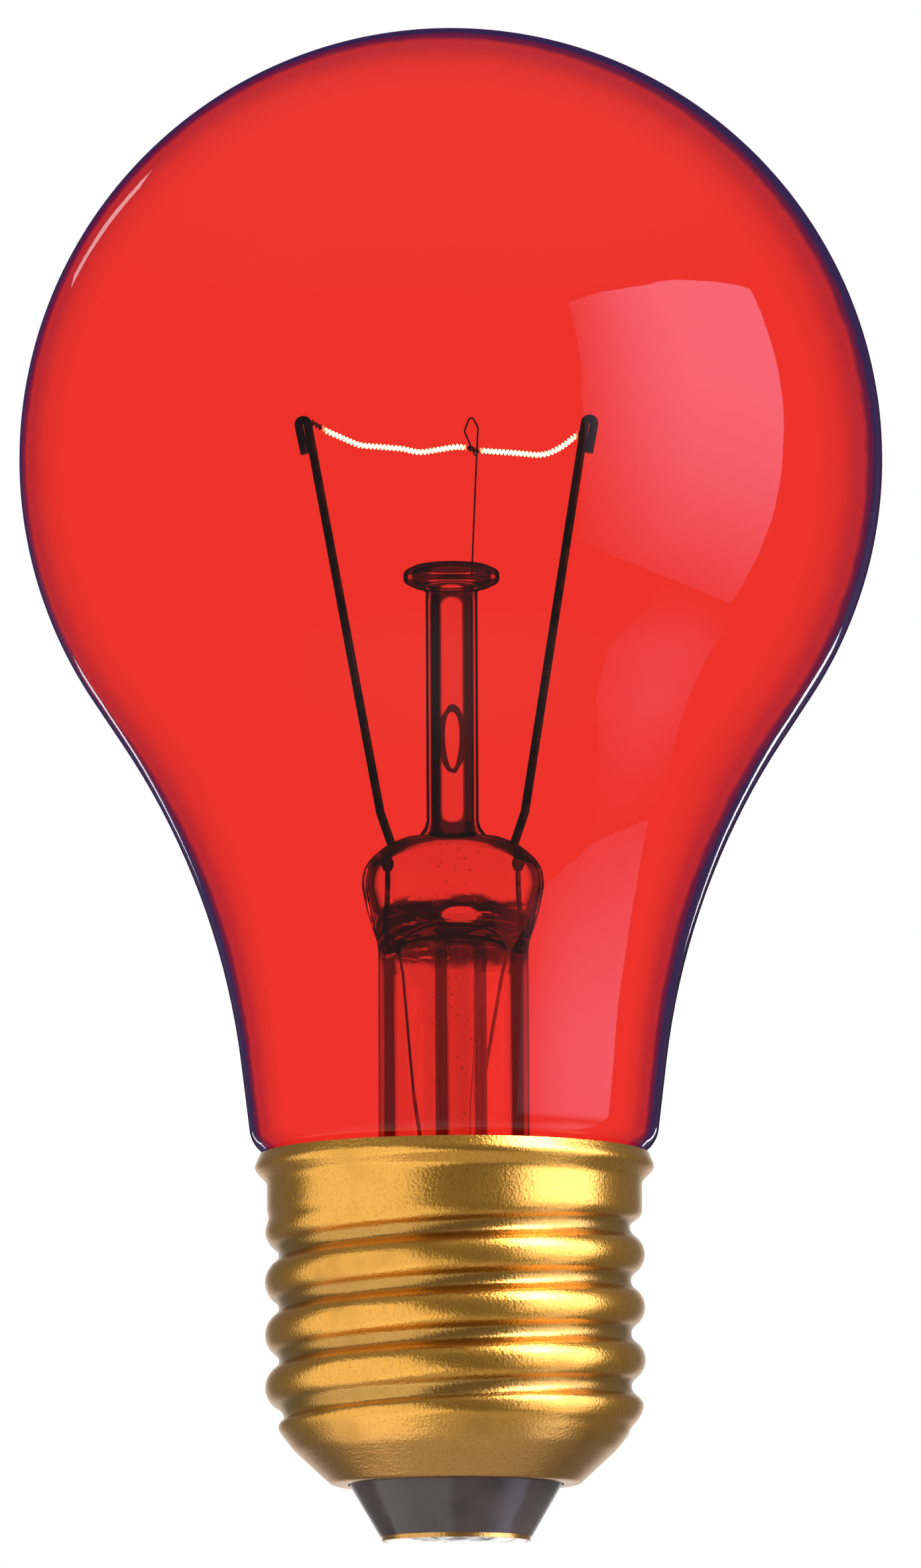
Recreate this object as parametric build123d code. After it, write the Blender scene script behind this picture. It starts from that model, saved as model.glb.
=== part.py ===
from build123d import *

import os
from functools import cache
from math import cos, pi, radians, sin, sqrt, tan

os.makedirs("parts", exist_ok=True)

# All lengths are in millimetres. The lamp stands on its centre contact, z = 0, with the glass above.
# The filament lies along X, and the side that faces -Y is the front.

# Glass envelope
LAMP_H = 105.5            # from the contact to the top of the glass
BULB_D = 60.0             # widest diameter of the glass
GLASS_WALL = 0.6
CONE_ANGLE = 33.5         # slope of the glass below the dome, from the upright
SHOULDER_SHARE = 0.7806   # of the shorter of cone and neck, that the hollow curve between them takes
NECK_R = 14.0             # neck just above the cap
NECK_ANGLE = 7.0          # the neck widens upwards
NECK_ABOVE_CAP = 1.0      # where the neck turns in, above the cap's lip
TUCK_R = 2.0              # turn of the glass into the cap
TAIL_TURN_R = 1.0         # turn of the glass along the cap
TAIL_R = 11.6             # neck inside the cap
TAIL_END_R = 1.4          # rounding of the neck's end
SEAL_R = 10.0             # where the neck's end is melted to the flare
SEAL_DEPTH = 6.2          # how far the neck reaches down into the cap

# Screw cap
CAP_H = 27.0              # from the contact to the lip
SHEET = 0.3               # brass sheet
THREAD_PITCH = 3.629
THREAD_CREST_D = 26.1
THREAD_ROOT_D = 24.2
ROOT_ARC_R = 0.7          # round of the valleys, the crests are rounder
TOP_VALLEY_Z = 20.95      # the uppermost valley, at the front
THREAD_TOP = 22.0         # above here the thread runs out into the skirt
THREAD_BOTTOM = 8.8       # below here it runs out into the bowl
THREAD_RUNOUT = 1.2
SKIRT_R = 12.9
BEAD_R = 13.67            # the bead round the lip
BEAD_H = 1.9
BEAD_ARC_R = 0.45
BEAD_FOOT_R = 0.7
BEAD_OVER = 0.13          # how far the bead's corner stands out before it is rounded
LIP_R = 13.4              # edge of the lip, outside
BOWL_Z = 4.3              # bottom edge of the brass
BOWL_EDGE_R = 8.5         # where the bowl turns in to the insulator
BOWL_EDGE_ARC_R = 0.6
BOWL_BULGE_R = 11.1       # the bowl's fullest place
BOWL_BULGE_Z = 6.7
BOWL_ARC_R = 4.0
BOWL_TOP_R = 12.5
BOWL_TOP_Z = 8.5
BLEND_R = 1.0             # joins the bowl, the crests and the skirt

# Insulator and centre contact
INSULATOR_NECK_R = 7.4    # where the insulator comes out of the brass
INSULATOR_FOOT_R = 5.2
INSULATOR_FILL = 2.9      # depth of glass inside the bowl
EYELET_R = 5.1
EYELET_T = 0.3
BARREL_R = 1.25           # barrel of the eyelet, outside
BARREL_H = 1.5
SOLDER_T = 0.45           # thickness of the solder under the eyelet
SOLDER_R = 4.8
LAND_R = 2.4              # flat middle of the solder
SOLDER_PLUG_H = 1.2       # height of the solder inside the eyelet

# Stem
FLARE_R = 5.22
FLARE_WALL = 0.9
FLARE_ARC_R = 3.6         # the flare's trumpet curve
PRESS_TOP_Z = 49.2
PRESS_H = 8.3             # from its top to where the tube is round again
PRESS_WIDE_R = 6.3
PRESS_THIN_R = 2.6
CAVITY_CLOSE_H = 3.8      # height over which the tube's bore closes to a slit
TUBE_R = 1.8              # arbor and exhaust tube
TUBE_BORE_R = 1.02
ARBOR_SUNK = 0.5          # how far the arbor is sunk in the press
ARBOR_BORE_SUNK = 0.7     # how much deeper its bore goes
ARBOR_FOOT_R = 2.3
ARBOR_FOOT_H = 0.9
BUTTON_UP = 17.4          # underside of the button above the press
BUTTON_R = 3.33
BUTTON_T = 1.4
HOLE_UP = 6.5             # pumped hole in the arbor's front wall, above the press
HOLE_W = 1.5
HOLE_H = 4.4
EXHAUST_X = 0.5           # the exhaust tube hangs a little to the right
EXHAUST_SUNK = 1.6        # how far it is sunk in the press
EXHAUST_TIP_Z = 12.0      # where it is sealed off
EXHAUST_TIP_H = 2.4
PORT_UP = 2.4             # oval port in the press, above its foot
PORT_W = 1.9
PORT_H = 1.25

# Wires
LEAD_D = 0.6
SEAL_WIRE_D = 0.35
FUSE_D = 0.19
OUTER_LEAD_D = 0.28
ANCHOR_D = 0.12
COIL_D = 0.42
WIRE_BEND_R = 0.8
LEAD_FOOT_X = 4.25        # leads where they enter the press, left and right of the middle
LEAD_KINK_UP = 1.6        # where a lead leans outwards, above the press
LEAD_KINK_OUT = 0.75
LEFT_TOP_X = -10.0
RIGHT_TOP_X = 9.4
LEAD_UP = 29.2            # tops of the leads above the press
HOOK_GAP = 0.05
HOOK_ROUND = 0.975        # share of a full half circle in the bend of the hook
HOOK_L = 2.4              # each lead's end is folded back down over this length
KNOT_DOWN = 2.6           # weld of lead and seal wire, below the top of the press
KNOT_R = 0.42
SEAL_WIRE_OUT_X = 3.6     # seal wires where they leave the press
ANCHOR_X = 1.4
ANCHOR_SUNK = 0.8         # how far the anchor is melted into the button
ANCHOR_LEAN = 0.4         # from the wire's foot to where it meets the coil
ANCHOR_LOOP_H = 2.9
LOOP_RIGHT_OUT = 0.5      # the loop's widest place on the right, and its share of the height
LOOP_RIGHT_UP = 0.65
LOOP_LEFT_OUT = 0.45
LOOP_LEFT_UP = 0.6
LOOP_END_OUT = 0.3
ANCHOR_BEND_R = 0.25
COIL_BEND_R = 0.6
FILAMENT_DIP = 2.2        # the coil at the anchor, below the tops of the leads
FUSE_END_X = -2.8
FUSE_DOWN = 9.6           # lower end of the fuse, below the press
LEFT_OUTER_X = -1.6       # where the left outer lead turns to the back
LEFT_OUTER_Y = 1.0
LEFT_OUTER_UP = 2.0       # above the end of the neck
LEFT_OUTER_OUT_X = -0.6   # where it passes under the flare
LEFT_OUTER_OUT_Y = 5.0
OUTER_LEAD_UNDER = 1.8    # below the flare's rim
OUTER_LEAD_BEND = 0.4     # it comes to the rim a little below and inside the neck
OUTER_LEAD_STEP = 0.6     # its straight run starts and ends this far inside the neck's length
RIGHT_OUTER_X = 1.9       # where the right outer lead passes the fuse
RIGHT_OUTER_DOWN = 10.0
RIGHT_OUTER_LOW_X = 1.2   # and where it passes the tip of the exhaust tube
TUBE_GAP = 1.0            # from the exhaust tube to the middle of that lead
LEAD_ABOVE_EYELET = 5.0   # where it stands upright, above the eyelet
# the filament's sag: across from the middle, and down from the tops of the leads
FILAMENT_RUN = (
    (-9.7, 0.15), (-8.6, 0.8), (-6.4, 1.8), (-3.4, 2.05), (-2.2, 2.35), (0.6, 1.9),
    (1.8, 2.2), (4.5, 2.4), (6.5, 2.6), (7.7, 2.0), (9.1, 0.9),
)

# Hidden joints
FIT = 0.12                # gap between the shell and what is seated in it
RIM_SOLDER_R = 1.2        # blob at the lip, at the back
RIM_SOLDER_SHAPE = (1.2, 0.7, 0.8)   # its width, depth and height, as shares of a ball's
NOTCH_H = 0.6             # the lead leaves through a notch in the lip, this deep
RIM_LEAD_DOWN = 0.35      # height of the lead there, below the lip
RIM_LEAD_GAP = 0.22       # from the neck's glass to the middle of the lead beside it
CEMENT_DOWN = 0.9         # top of the cement, below the lip
CEMENT_UP = 1.0           # bottom of the cement, above the end of the thread

# The shell is made of flat facets, between upright sections round the axis
TURN_STEPS = 48
OUTSIDE_STEPS = 72
INSIDE_STEPS = 36
FEEL = 0.002              # share of the outline over which its direction is felt

# Sizes that follow from the ones above
DOME_R = BULB_D / 2
DOME_Z = LAMP_H - DOME_R
NECK_Z = CAP_H + NECK_ABOVE_CAP
SEAL_Z = CAP_H - SEAL_DEPTH
CREST_R = THREAD_CREST_D / 2
THREAD_DEPTH = (THREAD_CREST_D - THREAD_ROOT_D) / 2
EYELET_Z = SOLDER_T
INSULATOR_Z = EYELET_Z + EYELET_T
FLARE_BORE_R = FLARE_R - FLARE_WALL
PRESS_FOOT_Z = PRESS_TOP_Z - PRESS_H
ARBOR_Z = PRESS_TOP_Z - ARBOR_SUNK
BUTTON_Z = PRESS_TOP_Z + BUTTON_UP
EXHAUST_Z = PRESS_FOOT_Z + EXHAUST_SUNK
KNOT_Z = PRESS_TOP_Z - KNOT_DOWN
LEAD_TOP_Z = PRESS_TOP_Z + LEAD_UP
FILAMENT_DIP_Z = LEAD_TOP_Z - FILAMENT_DIP
SEAL_WIRE_END_Z = PRESS_FOOT_Z - SEAL_WIRE_D
LEFT_SEAL_END = (-SEAL_WIRE_OUT_X, 0, SEAL_WIRE_END_Z)
RIGHT_SEAL_END = (SEAL_WIRE_OUT_X, 0, SEAL_WIRE_END_Z)
FUSE_END = (FUSE_END_X, 0, PRESS_FOOT_Z - FUSE_DOWN)
HOOK_R = HOOK_ROUND * (LEAD_D + HOOK_GAP) / 2


def turned(*outline):
    """Solid made by turning a closed outline, drawn in radius and height, about the axis."""
    edges = [edge for piece in outline for edge in piece.edges()]
    return revolve(Plane.XZ * make_face(edges), Axis.Z)


def turned_polygon(*corners):
    return turned(Polyline(*corners, close=True))


def turned_wall(outline, wall):
    """Turned wall of even thickness, inside an open outline."""
    return turned(offset(outline, amount=wall, side=Side.RIGHT, closed=True))


def bar(radius, low, high, x=0.0, y=0.0):
    """Upright round bar between two heights."""
    return Pos(x, y, (low + high) / 2) * Cylinder(radius, high - low)


def wire(points, diameter, bend=WIRE_BEND_R):
    """Round wire along straight runs, with every corner bent to one radius."""
    path = FilletPolyline(*points, radius=bend) if len(points) > 2 else Line(*points)
    return sweep(Plane(path @ 0, z_dir=path % 0) * Circle(diameter / 2), path=path)


def ellipse_stack(*sections):
    """Smooth solid through level ellipses, each a height, a half width and a half depth."""
    return loft([Pos(0, 0, z) * Ellipse(a, b) for z, a, b in sections])


def envelope_outline():
    """Outside of the glass, from the top of the dome to the melted end of the neck."""
    slope, taper = radians(CONE_ANGLE), tan(radians(NECK_ANGLE))
    leave_r, leave_z = DOME_R * cos(slope), DOME_Z - DOME_R * sin(slope)
    shoulder_z = (NECK_R - taper * NECK_Z - leave_r + tan(slope) * leave_z) / (tan(slope) - taper)
    cone_l = (leave_z - shoulder_z) / cos(slope)
    neck_l = (shoulder_z - NECK_Z) / cos(radians(NECK_ANGLE)) - TUCK_R
    shoulder_r = SHOULDER_SHARE * min(cone_l, neck_l) / tan(radians(CONE_ANGLE - NECK_ANGLE) / 2)
    dome = CenterArc((0, DOME_Z), DOME_R, 90, -90 - CONE_ANGLE)
    rest = FilletPolyline(
        (leave_r, leave_z),
        (NECK_R + taper * (shoulder_z - NECK_Z), shoulder_z),
        (NECK_R, NECK_Z),
        (TAIL_R, NECK_Z - (NECK_R - TAIL_R)),
        (TAIL_R, SEAL_Z),
        (SEAL_R, SEAL_Z),
        radius=(shoulder_r, TUCK_R, TAIL_TURN_R, TAIL_END_R),
    )
    return Wire([dome, *rest.edges()])


def glass_envelope():
    """Blown bulb of even wall, open at the end of its neck, where the stem is melted in."""
    return turned_wall(envelope_outline(), GLASS_WALL)


@cache
def envelope_block():
    """Everything inside the outside of the glass."""
    outline = envelope_outline()
    return turned(outline, Polyline(outline @ 1, (0, SEAL_Z), (0, LAMP_H)))


def press_block():
    """The press, from the round tube up through its flattened middle to its shoulders."""
    return ellipse_stack(
        (PRESS_FOOT_Z - CAVITY_CLOSE_H / 2, FLARE_R, FLARE_R),
        (PRESS_FOOT_Z, FLARE_R, 0.8 * FLARE_R),
        (PRESS_TOP_Z - 0.7 * PRESS_H, 0.9 * PRESS_WIDE_R, 1.2 * PRESS_THIN_R),
        (PRESS_TOP_Z - 0.4 * PRESS_H, PRESS_WIDE_R, PRESS_THIN_R),
        (PRESS_TOP_Z - 0.14 * PRESS_H, 0.93 * PRESS_WIDE_R, 0.95 * PRESS_THIN_R),
        (PRESS_TOP_Z, 0.7 * PRESS_WIDE_R, 0.8 * PRESS_THIN_R),
    )


def flare_bore():
    """Hollow of the flare tube, closing to a slit under the press."""
    low = PRESS_FOOT_Z - CAVITY_CLOSE_H / 2
    end = ellipse_stack(
        (low, FLARE_BORE_R, FLARE_BORE_R),
        (PRESS_FOOT_Z, 0.9 * FLARE_BORE_R, 0.6 * FLARE_BORE_R),
        (PRESS_FOOT_Z + CAVITY_CLOSE_H / 2, 0.6 * FLARE_BORE_R, 0.25 * FLARE_BORE_R),
    )
    return bar(FLARE_BORE_R, SEAL_Z - FLARE_R, low) + end


def front_oval(width, height, x, z, depth):
    """Oval cutter that runs from the plane of the leads out to the front."""
    return extrude(Plane.XZ * Pos(x, z) * Ellipse(width / 2, height / 2), depth)


def stem_flare():
    """Flare tube with its trumpet end, pinched at the top into the press round the wires."""
    top = PRESS_FOOT_Z - CAVITY_CLOSE_H / 2
    outline = FilletPolyline(
        (FLARE_R, top), (FLARE_R, SEAL_Z + GLASS_WALL), (SEAL_R, SEAL_Z + GLASS_WALL), radius=FLARE_ARC_R
    )
    body = turned_wall(outline, FLARE_WALL) + (press_block() - flare_bore())
    body -= bar(TUBE_R, PRESS_FOOT_Z - CAVITY_CLOSE_H, EXHAUST_Z, x=EXHAUST_X)
    body -= bar(TUBE_BORE_R, PRESS_FOOT_Z, PRESS_FOOT_Z + PORT_UP + PORT_H / 2, x=EXHAUST_X)
    body -= front_oval(PORT_W, PORT_H, EXHAUST_X, PRESS_FOOT_Z + PORT_UP, FLARE_R)
    body -= bar(TUBE_R, ARBOR_Z, PRESS_TOP_Z)
    body -= bar(TUBE_BORE_R, ARBOR_Z - ARBOR_BORE_SUNK, ARBOR_Z)
    for inner in (left_lead_wire(), right_lead_wire(), left_seal_wire(), right_seal_wire()):
        body -= inner
    return body


def arbor_tube():
    """Tube that stands on the press, with the pumped hole, closed by the button."""
    tube = bar(TUBE_R, ARBOR_Z, BUTTON_Z)
    foot = turned_polygon(
        (0, PRESS_TOP_Z), (ARBOR_FOOT_R, PRESS_TOP_Z), (TUBE_R, PRESS_TOP_Z + ARBOR_FOOT_H),
        (0, PRESS_TOP_Z + ARBOR_FOOT_H),
    )
    rim = BUTTON_T / 2
    middle = BUTTON_Z + rim
    button = turned(
        FilletPolyline(
            (0, BUTTON_Z), (BUTTON_R - rim, BUTTON_Z), (BUTTON_R, middle - rim / 2),
            (BUTTON_R, middle + rim / 2), (BUTTON_R - rim, BUTTON_Z + BUTTON_T), (0, BUTTON_Z + BUTTON_T),
            radius=(rim / 2, rim / 2, rim / 2, rim / 2),
        ),
        Line((0, BUTTON_Z + BUTTON_T), (0, BUTTON_Z)),
    )
    body = tube + foot + button - bar(TUBE_BORE_R, ARBOR_Z, BUTTON_Z)
    body -= front_oval(HOLE_W, HOLE_H, 0, PRESS_TOP_Z + HOLE_UP, 2 * TUBE_R)
    return body - anchor_wire()


def exhaust_tube():
    """Tube that hangs from the press inside the flare and is drawn off to a sealed tip."""
    tip_top = EXHAUST_TIP_Z + EXHAUST_TIP_H
    wall = TUBE_R - TUBE_BORE_R
    outside = Polyline((0, EXHAUST_Z), (TUBE_R, EXHAUST_Z), (TUBE_R, tip_top))
    tip = Spline((TUBE_R, tip_top), (0, EXHAUST_TIP_Z), tangents=[(0, -1), (-1, 0)])
    solid = turned(outside, tip, Line((0, EXHAUST_TIP_Z), (0, EXHAUST_Z)))
    bore = turned(
        Polyline((0, EXHAUST_Z), (TUBE_BORE_R, EXHAUST_Z), (TUBE_BORE_R, tip_top)),
        Spline((TUBE_BORE_R, tip_top), (0, EXHAUST_TIP_Z + wall), tangents=[(0, -1), (-1, 0)]),
        Line((0, EXHAUST_TIP_Z + wall), (0, EXHAUST_Z)),
    )
    return Pos(EXHAUST_X, 0, 0) * (solid - bore)


def lead_wire(side, top_x):
    """Thick lead: up out of the press, leaning outwards, its end folded back down on the outside."""
    foot_x = side * LEAD_FOOT_X
    lean = (top_x - foot_x) / (LEAD_UP - LEAD_KINK_UP)
    fold = side * (LEAD_D + HOOK_GAP)
    points = [
        (foot_x, 0, KNOT_Z),
        (foot_x, 0, PRESS_TOP_Z - LEAD_D),
        (foot_x + side * LEAD_KINK_OUT, 0, PRESS_TOP_Z + LEAD_KINK_UP),
        (top_x, 0, LEAD_TOP_Z),
        (top_x + fold, 0, LEAD_TOP_Z),
        (top_x + fold - lean * HOOK_L, 0, LEAD_TOP_Z - HOOK_L),
    ]
    path = FilletPolyline(*points, radius=(WIRE_BEND_R, WIRE_BEND_R, HOOK_R, HOOK_R))
    body = sweep(Plane(path @ 0, z_dir=path % 0) * Circle(LEAD_D / 2), path=path)
    return body + Pos(foot_x, 0, KNOT_Z + KNOT_R) * Sphere(KNOT_R)


@cache
def left_lead_wire():
    return lead_wire(-1, LEFT_TOP_X)


@cache
def right_lead_wire():
    return lead_wire(1, RIGHT_TOP_X)


def seal_wire(side):
    """Thin wire inside the press, from the weld knot down and out into the flare's hollow."""
    foot_x = side * LEAD_FOOT_X
    return wire(
        [
            (foot_x, 0, KNOT_Z),
            (foot_x, 0, PRESS_FOOT_Z + CAVITY_CLOSE_H / 2 + SEAL_WIRE_D),
            (side * SEAL_WIRE_OUT_X, 0, PRESS_FOOT_Z - SEAL_WIRE_D),
        ],
        SEAL_WIRE_D,
    )


@cache
def left_seal_wire():
    return seal_wire(-1)


@cache
def right_seal_wire():
    return seal_wire(1)


@cache
def fuse_wire():
    """Fine wire from the left seal wire down to the thicker outer lead."""
    return wire([LEFT_SEAL_END, FUSE_END], FUSE_D) - left_seal_wire()


@cache
def left_outer_lead():
    """From the fuse wire down round the end of the neck and up behind it to the lip."""
    under = SEAL_Z + GLASS_WALL - FLARE_WALL - OUTER_LEAD_UNDER
    beside = TAIL_R + RIM_LEAD_GAP
    run = [
        FUSE_END,
        (LEFT_OUTER_X, LEFT_OUTER_Y, SEAL_Z + LEFT_OUTER_UP),
        (LEFT_OUTER_OUT_X, LEFT_OUTER_OUT_Y, under - OUTER_LEAD_BEND),
        (0, TAIL_R - OUTER_LEAD_BEND, under),
        (0, beside, SEAL_Z + OUTER_LEAD_STEP),
        (0, beside, NECK_Z - (NECK_R - TAIL_R) - OUTER_LEAD_STEP),
        (0, LIP_R - SHEET - RIM_LEAD_GAP / 2, CAP_H - RIM_LEAD_DOWN),
        (0, LIP_R + RIM_SOLDER_R / 2, CAP_H - RIM_LEAD_DOWN),
    ]
    return wire(run, OUTER_LEAD_D) - fuse_wire()


@cache
def right_outer_lead():
    """From the right seal wire down past the exhaust tube to the middle of the contact."""
    aside = TUBE_R + TUBE_GAP
    run = [
        RIGHT_SEAL_END,
        (RIGHT_OUTER_X, aside, PRESS_FOOT_Z - RIGHT_OUTER_DOWN),
        (RIGHT_OUTER_LOW_X, aside, EXHAUST_TIP_Z + EXHAUST_TIP_H),
        (0, 0, INSULATOR_Z + BARREL_H + LEAD_ABOVE_EYELET),
        (0, 0, SOLDER_T + SOLDER_PLUG_H / 2),
    ]
    return wire(run, OUTER_LEAD_D) - right_seal_wire()


@cache
def anchor_wire():
    """Fine wire that stands in the button and loops round the filament."""
    aside = COIL_D / 2 + ANCHOR_D
    low = FILAMENT_DIP_Z - COIL_D / 2 - ANCHOR_D
    return wire(
        [
            (ANCHOR_X, 0, BUTTON_Z + BUTTON_T - ANCHOR_SUNK),
            (ANCHOR_X + ANCHOR_LEAN, -aside, low),
            (ANCHOR_X + LOOP_RIGHT_OUT, -aside, low + LOOP_RIGHT_UP * ANCHOR_LOOP_H),
            (ANCHOR_X, 0, low + ANCHOR_LOOP_H),
            (ANCHOR_X - LOOP_LEFT_OUT, aside, low + LOOP_LEFT_UP * ANCHOR_LOOP_H),
            (ANCHOR_X + LOOP_END_OUT, aside, low),
        ],
        ANCHOR_D,
        bend=ANCHOR_BEND_R,
    )


def filament():
    """Coil, as the fine rod that its turns fill, sagging from lead to anchor to lead."""
    rod = wire([(x, 0, LEAD_TOP_Z - drop) for x, drop in FILAMENT_RUN], COIL_D, bend=COIL_BEND_R)
    return rod - left_lead_wire() - right_lead_wire()


def cap_outline():
    """Outside of the shell before its thread is rolled, from the insulator up to the lip."""
    bead_z = CAP_H - BEAD_H / 2
    return FilletPolyline(
        (INSULATOR_NECK_R, BOWL_Z),
        (BOWL_EDGE_R, BOWL_Z),
        (BOWL_BULGE_R, BOWL_BULGE_Z),
        (BOWL_TOP_R, BOWL_TOP_Z),
        (CREST_R, THREAD_BOTTOM + BLEND_R),
        (CREST_R, THREAD_TOP - BLEND_R / 2),
        (SKIRT_R, THREAD_TOP + BLEND_R / 2),
        (SKIRT_R, CAP_H - BEAD_H),
        (BEAD_R + BEAD_OVER, bead_z),
        (LIP_R, CAP_H),
        radius=(BOWL_EDGE_ARC_R, BOWL_ARC_R, *[BLEND_R] * 4, BEAD_FOOT_R, BEAD_ARC_R),
    )


def run_out(inside):
    """One within the threaded length, easing to nothing over the run-out."""
    share = min(1.0, max(0.0, 1.0 + inside / THREAD_RUNOUT))
    return share * share * (3 - 2 * share)


def groove_depth(z, turn):
    """How deep the thread is rolled at a height, turn being the share of a turn from the front.

    The valley is an arc of ROOT_ARC_R, and a wider arc that meets it smoothly makes the crest.
    """
    half = THREAD_PITCH / 2
    both_arcs = (half**2 + THREAD_DEPTH**2) / (2 * THREAD_DEPTH)
    crest_arc = both_arcs - ROOT_ARC_R
    off = (z - TOP_VALLEY_Z - turn * THREAD_PITCH) % THREAD_PITCH
    off = min(off, THREAD_PITCH - off)
    if off < half * ROOT_ARC_R / both_arcs:
        depth = THREAD_DEPTH - ROOT_ARC_R + sqrt(ROOT_ARC_R**2 - off**2)
    else:
        depth = crest_arc - sqrt(crest_arc**2 - (half - off) ** 2)
    return depth * run_out(z - THREAD_BOTTOM) * run_out(THREAD_TOP - z)


def rolled_point(outline, share, turn):
    """Point of the threaded outside in radius and height, at a share of the outline's length."""
    point = outline @ min(max(share, 0.0), 1.0)
    return Vector(point.X - groove_depth(point.Y, turn), point.Y)


def spun(place, turn):
    """Move a point or direction from radius and height to its place round the axis."""
    angle = 2 * pi * (turn - 0.25)
    return Vector(place.X * cos(angle), place.X * sin(angle), place.Y)


def section(outline, turn):
    """Closed upright section of the shell's wall, at a share of a turn from the front.

    Its points run up the outside and back down the inside. At the back it ends lower, in the notch.
    """
    at_back = abs(turn - 0.5) < 0.5 / TURN_STEPS
    top = 1 - NOTCH_H / outline.length if at_back else 1.0
    points = []
    for steps, inset in ((OUTSIDE_STEPS, 0), (INSIDE_STEPS, SHEET)):
        side = []
        for step in range(steps + 1):
            share = top * step / steps
            ahead = rolled_point(outline, share + FEEL, turn)
            way = (ahead - rolled_point(outline, share - FEEL, turn)).normalized()
            side.append(spun(rolled_point(outline, share, turn) + way.rotate(Axis.Z, 90) * inset, turn))
        points += side if inset == 0 else side[::-1]
    return points


def facets(here, there):
    """Flat three-sided faces between two neighbouring sections."""
    for step in range(len(here)):
        after = (step + 1) % len(here)
        for corners in (
            (here[step], there[step], there[after]),
            (here[step], there[after], here[after]),
        ):
            yield Face(Wire.make_polygon(corners))


@cache
def cap_shell():
    """Thin brass shell with its right-hand knuckle thread, bead and bowl."""
    outline = cap_outline()
    sections = [section(outline, step / TURN_STEPS) for step in range(TURN_STEPS)]
    pairs = zip(sections, sections[1:] + sections[:1])
    return Solid(Shell([face for here, there in pairs for face in facets(here, there)]))


def shell_block(inset):
    """Everything within the unthreaded shell, at a distance inside its outside."""
    side = Side.LEFT if inset > 0 else Side.RIGHT
    edge = offset(cap_outline(), amount=abs(inset), side=side, closed=False)
    low, high = sorted((edge @ 0, edge @ 1), key=lambda end: end.Y)
    return turned(edge, Polyline(low, (0, low.Y), (0, high.Y), high))


def slab(low, high):
    """Flat block wider than the lamp between two heights, to cut a filling to its depth."""
    return Pos(0, 0, (low + high) / 2) * Box(BULB_D, BULB_D, high - low)


def cap_insulator():
    """Black glass moulded into the bowl and out of it in a cone, with a hole for the eyelet."""
    inside_z = BOWL_Z + SHEET + FIT
    cone = turned_polygon(
        (0, INSULATOR_Z),
        (INSULATOR_FOOT_R, INSULATOR_Z),
        (INSULATOR_NECK_R - FIT, BOWL_Z),
        (INSULATOR_NECK_R - FIT, inside_z),
        (0, inside_z),
    )
    fill = shell_block(SHEET + FIT) & slab(inside_z, BOWL_Z + INSULATOR_FILL)
    return cone + fill - bar(BARREL_R, INSULATOR_Z, BOWL_Z + INSULATOR_FILL)


def contact_eyelet():
    """Brass disc under the insulator, with a barrel up through it."""
    hole_r = BARREL_R - EYELET_T
    return turned_polygon(
        (hole_r, EYELET_Z),
        (EYELET_R, EYELET_Z),
        (EYELET_R, INSULATOR_Z),
        (BARREL_R, INSULATOR_Z),
        (BARREL_R, INSULATOR_Z + BARREL_H),
        (hole_r, INSULATOR_Z + BARREL_H),
    )


def contact_solder():
    """Shallow dome of solder with a flat middle, and its plug up into the eyelet's barrel."""
    hole_r = BARREL_R - EYELET_T
    rim = (SOLDER_R, SOLDER_T)
    body = turned(
        Line((0, 0), (LAND_R, 0)),
        TangentArc((LAND_R, 0), rim, tangent=(1, 0)),
        Polyline(rim, (hole_r, SOLDER_T), (hole_r, SOLDER_T + SOLDER_PLUG_H), (0, SOLDER_T + SOLDER_PLUG_H)),
        Line((0, SOLDER_T + SOLDER_PLUG_H), (0, 0)),
    )
    return body - right_outer_lead()


def rim_solder():
    """Blob that joins the left outer lead to the lip, at the back."""
    blob = scale(Sphere(RIM_SOLDER_R), by=RIM_SOLDER_SHAPE)
    return Pos(0, LIP_R + SHEET, CAP_H) * blob - envelope_block() - shell_block(-FIT) - left_outer_lead()


def cap_cement():
    """Ring that fills the gap between the neck and the skirt."""
    fill = shell_block(SHEET + FIT) & slab(THREAD_TOP + THREAD_RUNOUT + CEMENT_UP, CAP_H - CEMENT_DOWN)
    return fill - envelope_block() - left_outer_lead()


def main():
    """Write one STEP file for each piece of the lamp."""
    for build in (
        glass_envelope,
        stem_flare,
        arbor_tube,
        exhaust_tube,
        left_lead_wire,
        right_lead_wire,
        left_seal_wire,
        right_seal_wire,
        fuse_wire,
        left_outer_lead,
        right_outer_lead,
        anchor_wire,
        filament,
        cap_shell,
        cap_insulator,
        contact_eyelet,
        contact_solder,
        rim_solder,
        cap_cement,
    ):
        export_step(build(), f"parts/{build.__name__}.step")


main()
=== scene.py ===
"""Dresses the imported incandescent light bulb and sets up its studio."""

import logging
import math
from dataclasses import dataclass
from enum import Enum
from typing import Sequence

import bmesh
import bpy
import numpy as np
from mathutils import Matrix, Vector


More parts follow.
